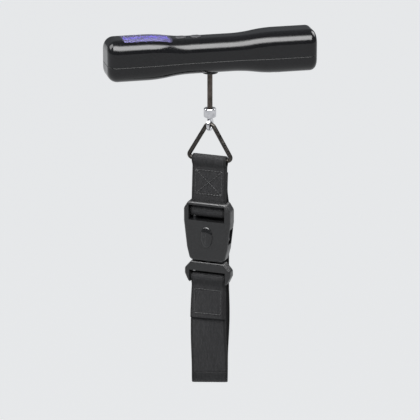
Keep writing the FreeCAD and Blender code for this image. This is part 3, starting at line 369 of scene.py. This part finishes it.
def make_floor_material():
    """Pale paper that gives off an even light of its own, so that its far end isn't dark."""
    paint = Paint("pale_floor")
    paint.set(Roughness=0.95, Emission_Color=(0.88, 0.89, 0.9), Emission_Strength=0.82)
    paint.colour(paint.colours(paint.noise(0.3), [(0.3, (0.3, 0.305, 0.31)), (0.7, (0.33, 0.335, 0.34))]))
    return paint.material


def glossy_black():
    """High-gloss moulding: faint dust in the colour, smears in the gloss, a trace of orange peel."""
    paint = Paint("glossy_black").set(Specular_IOR_Level=0.38)
    dust = paint.noise(900, 6)
    paint.colour(paint.colours(dust, [(0.35, (0.003, 0.003, 0.0035)), (0.8, (0.008, 0.008, 0.009))]))
    smears = paint.noise(60, 5, paint.place((1, 2.2, 1)))
    paint.roughness(paint.ramp(smears, 0.07, 0.2))
    paint.bump(paint.noise(420, 2), 0.00003, 0.35)
    return paint.material


def window_tint():
    """Clear violet-tinted window with faint smears."""
    paint = Paint("window_tint").set(
        Base_Color=(0.62, 0.58, 0.95), Transmission_Weight=0.93, IOR=1.49, Specular_IOR_Level=0.5
    )
    paint.roughness(paint.ramp(paint.noise(150, 5), 0.02, 0.09))
    return paint.material


def lcd_face():
    """Lit display glass: a violet-blue field of uneven brightness, with fine lines across it."""
    paint = Paint("lcd_face").set(Roughness=0.3, Specular_IOR_Level=0.15, Emission_Strength=0.62)
    wave = paint.node("ShaderNodeTexWave", Scale=700)
    paint.link(paint.place(), wave.inputs["Vector"])
    field = paint.math("ADD", paint.noise(50, 2), paint.math("MULTIPLY", wave.outputs["Fac"], 0.12))
    glow = paint.colours(field, [(0.3, (0.085, 0.05, 0.31)), (0.75, (0.15, 0.105, 0.45))])
    paint.colour(glow)
    paint.link(glow, paint.shader.inputs["Emission Color"])
    return paint.material


def lcd_ink():
    """Dark blue of the lit display's segments."""
    paint = Paint("lcd_ink").set(Roughness=0.35)
    mottle = paint.noise(2000, 2)
    paint.colour(paint.colours(mottle, [(0.4, (0.03, 0.025, 0.09)), (0.6, (0.05, 0.04, 0.13))]))
    return paint.material


def satin_plastic(name, dark, light, rough, grain=2600, depth=0.00004):
    """Moulded plastic with a fine spark-eroded grain and slightly polished patches."""
    paint = Paint(name).set(Specular_IOR_Level=0.5)
    paint.colour(paint.colours(paint.noise(grain * 0.4, 6), [(0.3, dark), (0.75, light)]))
    paint.roughness(paint.ramp(paint.noise(180, 5), rough - 0.08, rough + 0.1))
    paint.bump(paint.noise(grain, 3), depth, 0.6)
    return paint.material


def buckle_acetal():
    """Satin black moulding with edges painted brighter, partly as rubbed wear and partly as a painted highlight,
    and a polished raised oval on its face.
    """
    paint = Paint("buckle_acetal").set(Specular_IOR_Level=0.5)
    geometry = paint.node("ShaderNodeNewGeometry")
    # Convex edges painted brighter: partly rubbed wear, partly a painted highlight along the edges.
    rubbed_and_highlit_edges = paint.ramp(geometry.outputs["Pointiness"], 0.0, 1.0, 0.51, 0.57)
    grime = paint.noise(1100, 6)
    shade = paint.math("ADD", paint.math("MULTIPLY", rubbed_and_highlit_edges, 0.45), paint.math("MULTIPLY", grime, 0.6))
    paint.colour(paint.colours(shade, [(0.25, (0.007, 0.007, 0.0075)), (0.95, (0.04, 0.04, 0.042))]))
    coordinates = paint.node("ShaderNodeTexCoord")
    oval = paint.node("ShaderNodeMapping", vector_type="TEXTURE")
    oval.inputs["Location"].default_value = OVAL_CENTRE
    oval.inputs["Rotation"].default_value = (0, 0, HANG_TURN)
    oval.inputs["Scale"].default_value = OVAL_REACH
    paint.link(coordinates.outputs["Object"], oval.inputs["Vector"])
    distance = paint.node("ShaderNodeVectorMath", operation="LENGTH")
    paint.link(oval.outputs["Vector"], distance.inputs[0])
    outside = paint.ramp(distance.outputs["Value"], 0.0, 1.0, 0.97, 1.03)
    satin = paint.ramp(paint.noise(180, 5), 0.26, 0.44)
    paint.roughness(paint.math("MULTIPLY_ADD", paint.math("SUBTRACT", satin, 0.09), outside, 0.09))
    grain = paint.math("MULTIPLY", paint.noise(2600, 3), outside)
    paint.bump(grain, 0.00004, 0.6)
    return paint.material


def metal(name, dark, light, rough, scratch=(1, 1, 14), worn=None):
    """Bare or plated metal: streaked gloss, hairline scratches, and worn edges where given."""
    paint = Paint(name).set(Metallic=1.0)
    shade = paint.colours(paint.noise(300, 5), [(0.35, dark), (0.7, light)])
    if worn:
        geometry = paint.node("ShaderNodeNewGeometry")
        edge = paint.ramp(geometry.outputs["Pointiness"], 0.0, 1.0, 0.52, 0.6)
        patch = paint.math("MULTIPLY", edge, paint.ramp(paint.noise(500, 6), 0.2, 1.0))
        shade = paint.mixed(patch, shade, worn)
    paint.colour(shade)
    paint.roughness(paint.ramp(paint.noise(240, 6, paint.place(scratch)), rough * 0.6, rough * 1.5))
    paint.bump(paint.noise(1500, 3, paint.place(scratch)), 0.00002, 0.4)
    return paint.material


def woven(name, dark, light):
    """Webbing yarns: rows of short floats, each with its own shade, colour darkened towards both edges as painted
    shade, a fuzzy sheen.
    """
    paint = Paint(name).set(Sheen_Weight=0.05, Sheen_Roughness=0.5, Specular_IOR_Level=0.25)
    layout = paint.place((1, 1, 1), "UV")
    brick = paint.node("ShaderNodeTexBrick", Scale=1.0)
    brick.inputs["Brick Width"].default_value = 2.2
    brick.inputs["Row Height"].default_value = 0.9
    brick.inputs["Mortar Size"].default_value = 0.16
    brick.inputs["Mortar Smooth"].default_value = 0.9
    brick.inputs["Color1"].default_value = (0.35, 0.35, 0.35, 1)
    brick.inputs["Color2"].default_value = (0.85, 0.85, 0.85, 1)
    brick.inputs["Mortar"].default_value = (0, 0, 0, 1)
    turn = paint.node("ShaderNodeMapping")
    turn.inputs["Rotation"].default_value = (0, 0, math.pi / 2)
    paint.link(layout, turn.inputs["Vector"])
    paint.link(turn.outputs["Vector"], brick.inputs["Vector"])
    yarn = paint.node("ShaderNodeTexNoise", Scale=5.0, Detail=5.0)
    paint.link(paint.place((0.6, 3.2, 1), "UV"), yarn.inputs["Vector"])
    floats = paint.math("MULTIPLY", brick.outputs["Color"], 0.6)
    fibres = paint.math("MULTIPLY", yarn.outputs["Fac"], 0.5)
    shade = paint.math("ADD", floats, fibres)
    across = paint.node("ShaderNodeSeparateXYZ")
    paint.link(layout, across.inputs["Vector"])
    # Painted shade: the colour is darkened towards both edges of the web.
    edge_shade_start = WEB_WIDTH / MM / 2 - 1.9
    from_middle = paint.math("ABSOLUTE", across.outputs["X"])
    inner = paint.ramp(from_middle, 1.0, 0.35, edge_shade_start, edge_shade_start + 0.3)
    shade = paint.math("MULTIPLY", shade, inner)
    paint.colour(paint.colours(shade, [(0.15, dark), (0.95, light)]))
    paint.roughness(paint.ramp(yarn.outputs["Fac"], 0.62, 0.88))
    first = paint.bump(brick.outputs["Color"], 0.00022, 0.8)
    paint.bump(yarn.outputs["Fac"], 0.00008, 0.6, below=first)
    return paint.material


def circuit_green():
    """Solder mask over copper tracks."""
    paint = Paint("circuit_green").set(Specular_IOR_Level=0.5)
    tracks = paint.noise(250, 3)
    paint.colour(paint.colours(tracks, [(0.45, (0.01, 0.07, 0.03)), (0.55, (0.02, 0.12, 0.05))]))
    paint.roughness(paint.ramp(paint.noise(90), 0.25, 0.45))
    paint.bump(paint.noise(900, 2), 0.00005, 0.5)
    return paint.material


def plain_textured(name, dark, light, rough):
    """A small inner or sewn piece, with a coarser and shallower grain than a moulding."""
    return satin_plastic(name, dark, light, rough, grain=1200, depth=0.00003)


def cad_finishes():
    """Each material with the names of the CAD nodes that have it, for every node that stays in view."""
    gloss = glossy_black()
    button = satin_plastic("button_satin", (0.03, 0.03, 0.033), (0.05, 0.05, 0.055), 0.42)
    rubber = satin_plastic("soft_black", (0.01, 0.01, 0.01), (0.022, 0.022, 0.022), 0.7)
    acetal = buckle_acetal()
    zinc = metal("zinc_plate", (0.38, 0.38, 0.4), (0.55, 0.55, 0.56), 0.32)
    chrome = metal("bright_chrome", (0.5, 0.5, 0.52), (0.7, 0.7, 0.72), 0.13, (1, 1, 6))
    gunmetal = metal(
        "gunmetal", (0.035, 0.032, 0.03), (0.08, 0.074, 0.068), 0.34, (1, 1, 5), (0.3, 0.28, 0.26)
    )
    dark_steel = metal("dark_steel", (0.06, 0.052, 0.045), (0.12, 0.1, 0.09), 0.34, (1, 1, 0.2))
    nickel = metal("nickel", (0.55, 0.53, 0.48), (0.7, 0.68, 0.62), 0.25)
    milled = metal("milled_aluminium", (0.62, 0.63, 0.64), (0.78, 0.78, 0.79), 0.35, (1, 14, 1))
    inner = plain_textured("inner_plastic", (0.03, 0.03, 0.03), (0.06, 0.06, 0.06), 0.55)
    lead = plain_textured("lead_insulation", (0.3, 0.02, 0.02), (0.45, 0.04, 0.03), 0.45)
    film = plain_textured("gauge_film", (0.5, 0.28, 0.06), (0.7, 0.42, 0.12), 0.35)
    tint = window_tint()
    face = lcd_face()
    diffuser = plain_textured("diffuser", (0.6, 0.6, 0.7), (0.7, 0.7, 0.8), 0.6)
    elastomer = plain_textured("elastomer", (0.5, 0.2, 0.25), (0.7, 0.35, 0.4), 0.6)
    board = circuit_green()
    epoxy = plain_textured("epoxy", (0.01, 0.01, 0.01), (0.02, 0.02, 0.02), 0.3)
    return [
        (gloss, ["upper_shell", "lower_shell", "battery_door"]),
        (tint, ["display_window"]),
        (face, ["lcd_panel"]),
        (diffuser, ["lcd_backlight"]),
        (elastomer, ["lcd_connectors"]),
        (board, ["circuit_board"]),
        (epoxy, ["controller_chip"]),
        (nickel, ["dome_switches", "battery_contacts", "battery_cell"]),
        (zinc, ["board_screws", "load_cell_screws", "case_screws", "stem_nut", "load_cell_plate"]),
        (milled, ["load_cell"]),
        (film, ["strain_gauges"]),
        (dark_steel, ["pull_stem"]),
        (rubber, ["stem_bushing"]),
        (inner, ["battery_tray"]),
        (lead, ["battery_leads", "sensor_leads"]),
        (button, ["power_button", "unit_button"]),
        (chrome, ["swivel_barrel", "swivel_eye"]),
        (gunmetal, ["triangle_ring"]),
        (acetal, ["buckle_female", "buckle_male", "prong_left", "prong_right"]),
    ]


def finish_cad_nodes():
    """Gives every CAD node that stays in view its material."""
    for material, names in cad_finishes():
        for name in names:
            mesh = frame["nodes"][name].data
            mesh.materials.clear()
            mesh.materials.append(material)


# ---- webbing -----------------------------------------------------------------------------------

RIBS = 22
RIB_STEPS = 4
RIB_HEIGHT = 0.12 * MM
SELVEDGE = 1.5 * MM


def section_points():
    """The web's cross-section, counter-clockwise, as (across, depth) pairs: fine ribs, full edges."""
    half = WEB_WIDTH / 2
    steps = RIBS * RIB_STEPS
    front = []
    back = []
    for step in range(steps + 1):
        across = -half + WEB_WIDTH * step / steps
        edge = min(1.0, (half - abs(across)) / SELVEDGE)
        rounding = math.sqrt(max(0.0, 1 - (1 - edge) ** 4))
        wave = 0.5 + 0.5 * math.cos(2 * math.pi * RIBS * step / steps)
        rib = RIB_HEIGHT * wave if edge >= 1 else 0.0
        depth = (LAYER - RIB_HEIGHT + rib) * rounding
        front.append((across, -depth))
        back.append((across, depth))
    return front + back[-2:0:-1]


def turn_at(level):
    """How far the web is turned about the vertical: the buckle's turn, eased lower down to the loop's."""
    share = (TWIST_START - level) / (TWIST_START - LOOP_CENTRE.z)
    return between(HANG_TURN, LOOP_TURN, eased(share))


def path_rings(path, section, closed):
    """The section set square to the path at each of its points, as one list of points per ring."""
    total = len(path)
    rings = []
    for index, (depth, level) in enumerate(path):
        before = path[index - 1] if index or closed else path[0]
        after = path[(index + 1) % total] if index < total - 1 or closed else path[-1]
        along = Vector((after[0] - before[0], after[1] - before[1])).normalized()
        out = Vector((along.y, -along.x))
        turn = Matrix.Rotation(turn_at(level), 3, "Z")
        flat = [(across, depth + out.x * deep, level + out.y * deep) for across, deep in section]
        rings.append([turn @ Vector(point) for point in flat])
    return rings


def path_marks(path, closed):
    """The length along the path at each of its points, and once more at the end of a closed one."""
    marks = [0.0]
    ends = path[1:] + path[:1] if closed else path[1:]
    for here, following in zip(path, ends):
        marks.append(marks[-1] + math.hypot(following[0] - here[0], following[1] - here[1]))
    return marks


def ribbon_faces(section, marks, total, closed):
    """Faces between the rings, each with its corners' places in the weave layout, in millimetres."""
    count = len(section)
    faces = []
    layouts = []
    for index in range(total if closed else total - 1):
        here = index * count
        following = (index + 1) % total * count
        high = marks[index] / MM
        low = marks[index + 1] / MM
        for corner in range(count):
            other = (corner + 1) % count
            faces.append((here + corner, here + other, following + other, following + corner))
            first = section[corner][0] / MM
            second = section[other][0] / MM
            layouts.append(((first, high), (second, high), (second, low), (first, low)))
    if not closed:
        faces.append(tuple(reversed(range(count))))
        faces.append(tuple(range((total - 1) * count, total * count)))
        layouts += [((0.0, 0.0),) * count] * 2
    return faces, layouts


def ribbon(name, path, closed=False):
    """Webbing along a path of (depth, level) points, and its length."""
    section = section_points()
    marks = path_marks(path, closed)
    verts = [point for ring in path_rings(path, section, closed) for point in ring]
    faces, layouts = ribbon_faces(section, marks, len(path), closed)
    web = object_from_faces(name, verts, faces, smooth=True)
    layout = web.data.uv_layers.new(name="weave")
    for face, places in zip(web.data.polygons, layouts):
        for loop, place in zip(face.loop_indices, places):
            layout.data[loop].uv = place
    fix_normals(web)
    return web, marks[-1]


def fix_normals(item):
    """Turns every face of a closed mesh outwards."""
    work = bmesh.new()
    work.from_mesh(item.data)
    bmesh.ops.recalc_face_normals(work, faces=work.faces)
    work.to_mesh(item.data)
    work.free()


def resampled(points, spacing, closed=False):
    """Points at an even spacing along the straight runs between the given ones."""
    line = [Vector(point) for point in points] + ([Vector(points[0])] if closed else [])
    distances = [0.0]
    for here, following in zip(line, line[1:]):
        distances.append(distances[-1] + (following - here).length)
    total = distances[-1]
    count = max(4, round(total / spacing))
    result = []
    span = 0
    for step in range(count if closed else count + 1):
        target = total * step / count
        while span < len(distances) - 2 and distances[span + 1] < target:
            span += 1
        width = distances[span + 1] - distances[span]
        share = (target - distances[span]) / width if width else 0
        result.append(tuple(line[span].lerp(line[span + 1], share)))
    return result


def softened(points, passes):
    """Rounds the corners of an open line, keeping both ends."""
    for _ in range(passes):
        line = [Vector(point) for point in points]
        inner = [tuple((a + 2 * b + c) / 4) for a, b, c in zip(line, line[1:], line[2:])]
        points = [points[0]] + inner + [points[-1]]
    return points


def levels_between(start, end, steps):
    """Evenly spaced levels, both ends included."""
    return [between(start, end, step / steps) for step in range(steps + 1)]


def arc(centre, radius, start, end, steps=18):
    """Points round part of a circle in the (depth, level) plane; angles in degrees from +depth."""
    angles = [math.radians(angle) for angle in levels_between(start, end, steps)]
    return [(centre[0] + radius * math.cos(a), centre[1] + radius * math.sin(a)) for a in angles]


def top_centre(level):
    """Depth of the double layer's middle plane, which leans forward to the buckle's bar."""
    share = (SEWN_TOP - level) / (SEWN_TOP - SEWN_END)
    return between(0.0, BUCKLE_DEPTH, min(1.0, max(0.0, share)))


def half_gap(level):
    """Half the distance between the two layers' middles: wide round the wire and the bar."""
    from_wire = eased((WIRE_PINCH_START - level) / WIRE_PINCH_REACH)
    from_bar = eased((level - FEMALE_BAR) / BAR_PINCH_REACH)
    return max(between(WIRE_WRAP, PINCHED_GAP, from_wire), between(BAR_WRAP, PINCHED_GAP, from_bar))


def make_webbing_top():
    """The double layer: one closed band round the ring's base wire and the female half's bar."""
    levels = levels_between(BASE_WIRE.z, FEMALE_BAR, 40)[1:-1]
    front = [(top_centre(level) - half_gap(level), level) for level in levels]
    back = [(top_centre(level) + half_gap(level), level) for level in reversed(levels)]
    over_wire = arc((0, BASE_WIRE.z), WIRE_WRAP, 0, 180)
    under_bar = arc((BUCKLE_DEPTH, FEMALE_BAR), BAR_WRAP, 180, 360)
    path = resampled(over_wire + front + under_bar + back, TIGHT_SPACING, closed=True)
    return ribbon("webbing_top_band", path, closed=True)


def rear_path():
    """The long layer's line: sewn on behind the double layer, then out behind the buckle and down."""
    beside = 1.5 * WEB_THICKNESS + REAR_GAP
    points = [
        (top_centre(REAR_BOX[1].z) + beside, REAR_BOX[1].z),
        (top_centre(REAR_LEAVE) + beside, REAR_LEAVE),
        (REAR_DEPTH, REAR_BEND),
        (REAR_DEPTH, TWIST_START),
        (LOOP_RADIUS + LAYER, LOOP_CENTRE.z),
    ]
    return softened(resampled(points, ROUTE_SPACING), 8)


def make_webbing_rear():
    """The long layer: sewn in behind the top, down behind the buckle, and round under the handle."""
    under = arc((0, LOOP_CENTRE.z), LOOP_RADIUS + LAYER, 0, -180, 40)
    path = resampled(rear_path() + under[1:], LONG_SPACING)
    return ribbon("webbing_rear_run", path)


def front_line(level):
    """Depth of the front run's middle plane at a level."""
    share = (FRONT_TOP - level) / (FRONT_TOP - LOOP_CENTRE.z)
    return between(FRONT_DEPTH, -LOOP_RADIUS - LAYER, share)


def make_webbing_front():
    """The free part of the front run, from the loop up to the end of the sewn fold."""
    levels = levels_between(LOOP_CENTRE.z, FOLD_END - SEAM_GAP, 50)
    return ribbon("webbing_front_run", [(front_line(level), level) for level in levels])


def make_webbing_fold():
    """The sewn end: up behind, over the male half's bar, and down again in front of itself."""
    behind = [(front_line(level), level) for level in levels_between(FOLD_END, FRONT_TOP, 30)]
    over = arc((BUCKLE_DEPTH, MALE_BAR), BAR_WRAP, -10, 190, 30)
    tail = [(front_line(level) - FOLD_LIFT, level) for level in levels_between(TAIL_TOP, FOLD_END, 30)]
    path = softened(resampled(behind + over + tail, TIGHT_SPACING), 6)
    return ribbon("webbing_fold_end", path)


def front_face(level):
    """Depth of the double layer's front surface."""
    return top_centre(level) - half_gap(level) - LAYER


def rear_face(level):
    """Depth of the rear surface of the long layer where it is sewn on."""
    return top_centre(level) + 2 * WEB_THICKNESS + REAR_GAP


def fold_face(level):
    """Depth of the front surface of the fold's front layer."""
    return front_line(level) - FOLD_LIFT - LAYER


def make_webs():
    """The four webs, each in place of its CAD solids."""
    weave = woven("black_webbing", (0.004, 0.004, 0.0045), (0.03, 0.03, 0.032))
    made = {
        "webbing_top": make_webbing_top(),
        "webbing_rear": make_webbing_rear(),
        "webbing_fold": make_webbing_fold(),
        "webbing_front": make_webbing_front(),
    }
    for node, (web, length) in made.items():
        web.data.materials.append(weave)
        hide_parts(node)
    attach(made["webbing_top"][0], "strap")
    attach(made["webbing_rear"][0], "strap")
    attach(made["webbing_fold"][0], "male_half")
    # The fold's rear layer is the upper part of the front run.
    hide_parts("webbing_front")
    front = made["webbing_front"][0]
    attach(front, "strap")
    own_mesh(front)


# ---- stitching ---------------------------------------------------------------------------------

STITCH_SEED = 7
STITCH_PITCH = 2.1 * MM
STITCH_HALF_LENGTH = 0.47 * STITCH_PITCH
STITCH_WOBBLE = 0.05
STITCH_INSET = 3 * MM
THREAD_RADIUS = 0.26 * MM
THREAD_RISE = 0.12 * MM
FRONT_BOX_TOP = BASE_WIRE.z - 8 * MM
REAR_BOX_TOP = REAR_BOX[1].z - 2.5 * MM
SEWN_BOX_LOW = FEMALE_BAR + 12.5 * MM
FOLD_BOX_TOP = FRONT_TOP - 4 * MM
FOLD_BOX_LOW = FOLD_END + 3.5 * MM


def stitch_form(here, along, surface, outward, wobble):
    """The place, turn and size of one stitch, which lies on a surface and along its row."""
    depth = surface(here.y) + outward * THREAD_RISE
    reach = STITCH_PITCH / 2
    slope = (surface(here.y + reach) - surface(here.y - reach)) / STITCH_PITCH
    tilt = math.atan2(along.x, along.y) + wobble
    return (
        Matrix.Rotation(turn_at(here.y), 4, "Z")
        @ Matrix.Translation((here.x, depth, here.y))
        @ Matrix.Rotation(-math.atan(slope), 4, "X")
        @ Matrix.Rotation(tilt, 4, "Y")
        @ Matrix.Diagonal((THREAD_RADIUS, THREAD_RADIUS, STITCH_HALF_LENGTH, 1))
    )


def make_stitches(name, runs, surface, outward):
    """Rows of thread along lines of (across, level) pairs, lying on a surface of the web."""
    work = bmesh.new()
    randomness = random.Random(STITCH_SEED)
    for ends in runs:
        start, end = (Vector(place) for place in ends)
        along = (end - start).normalized()
        count = max(1, round((end - start).length / STITCH_PITCH))
        for index in range(count):
            here = start.lerp(end, (index + 0.5) / count)
            wobble = randomness.uniform(-STITCH_WOBBLE, STITCH_WOBBLE)
            form = stitch_form(here, along, surface, outward, wobble)
            bmesh.ops.create_uvsphere(work, u_segments=10, v_segments=8, radius=1, matrix=form)
    return object_from_bmesh(name, work, smooth=True)


def box_sides(half, top, bottom):
    """The four lines of a sewn box."""
    corners = [(-half, top), (half, top), (half, bottom), (-half, bottom)]
    return list(zip(corners, corners[1:] + corners[:1]))


def box_and_cross(half, top, bottom):
    """The six lines of a sewn box with a cross in it."""
    cross = [((-half, top), (half, bottom)), ((half, top), (-half, bottom))]
    return box_sides(half, top, bottom) + cross


def sew_webs():
    """A box with a cross on both faces of the sewn top, and a plain box on the fold."""
    thread = plain_textured("sewing_thread", (0.02, 0.02, 0.02), (0.06, 0.06, 0.062), 0.5)
    half = WEB_WIDTH / 2 - STITCH_INSET
    front_box = box_and_cross(half, FRONT_BOX_TOP, SEWN_BOX_LOW)
    rear_box = box_and_cross(half, REAR_BOX_TOP, SEWN_BOX_LOW)
    fold_box = box_sides(half, FOLD_BOX_TOP, FOLD_BOX_LOW)
    for name, runs, surface, outward, body in (
        ("top_stitching", front_box, front_face, -1, "strap"),
        ("rear_stitching", rear_box, rear_face, 1, "strap"),
        ("fold_stitching", fold_box, fold_face, -1, "male_half"),
    ):
        stitches = make_stitches(name, runs, surface, outward)
        stitches.data.materials.append(thread)
        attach(stitches, body)


# ---- digits ------------------------------------------------------------------------------------

READING = "184"
DIGIT_TALL = 9.0 * MM
DIGIT_WIDE = 4.8 * MM
DIGIT_PITCH = 7.2 * MM
STROKE = 1.0 * MM
INK_GAP = 0.02 * MM
INK_THICKNESS = 0.06 * MM
SEGMENTS = {
    "0": "abcdef",
    "1": "bc",
    "2": "abged",
    "3": "abgcd",
    "4": "fgbc",
    "5": "afgcd",
    "6": "afgedc",
    "7": "abc",
    "8": "abcdefg",
    "9": "abcdfg",
}


def segment_bar(work, centre, length, upright, level):
    """One lozenge-ended bar of a seven-segment digit."""
    half = length / 2
    side = STROKE / 2
    shoulder = half - side
    outline = [
        (-half, 0),
        (-shoulder, side),
        (shoulder, side),
        (half, 0),
        (shoulder, -side),
        (-shoulder, -side),
    ]
    corners = []
    for along, across in outline:
        x, y = (across, along) if upright else (along, across)
        corners.append(Vector((centre[0] + x, centre[1] + y, level)))
    thickness = Vector((0, 0, INK_THICKNESS))
    low = [work.verts.new(corner) for corner in corners]
    high = [work.verts.new(corner + thickness) for corner in corners]
    work.faces.new(low)
    work.faces.new(high)
    for index in range(len(corners)):
        other = (index + 1) % len(corners)
        work.faces.new((low[index], low[other], high[other], high[index]))


def segment_places(x, middle):
    """The centre of each segment of a digit, and whether it stands upright."""
    left = x - DIGIT_WIDE / 2
    right = x + DIGIT_WIDE / 2
    upper = middle + DIGIT_TALL / 4
    lower = middle - DIGIT_TALL / 4
    return {
        "a": ((x, middle + DIGIT_TALL / 2), False),
        "g": ((x, middle), False),
        "d": ((x, middle - DIGIT_TALL / 2), False),
        "f": ((left, upper), True),
        "b": ((right, upper), True),
        "e": ((left, lower), True),
        "c": ((right, lower), True),
    }


def make_digits():
    """A generic reading in seven-segment digits, printed on the display glass."""
    low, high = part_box("lcd_panel")
    start = (low.x + high.x) / 2 - DIGIT_PITCH
    middle = (low.y + high.y) / 2
    level = high.z + INK_GAP
    work = bmesh.new()
    for index, digit in enumerate(READING):
        places = segment_places(start + index * DIGIT_PITCH, middle)
        for segment in SEGMENTS[digit]:
            centre, upright = places[segment]
            length = (DIGIT_TALL / 2 if upright else DIGIT_WIDE) - 0.5 * STROKE
            segment_bar(work, centre, length, upright, level)
    point = (start + 1.5 * DIGIT_PITCH, middle - DIGIT_TALL / 2)
    segment_bar(work, point, STROKE * 1.1, False, level)
    bmesh.ops.recalc_face_normals(work, faces=work.faces)
    digits = object_from_bmesh("lcd_digits", work)
    digits.data.materials.append(lcd_ink())
    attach(digits, "handle")


# ---- the scene ---------------------------------------------------------------------------------

make_camera()
make_lights()
make_world()
make_floor()
finish_cad_nodes()
make_webs()
sew_webs()
make_digits()
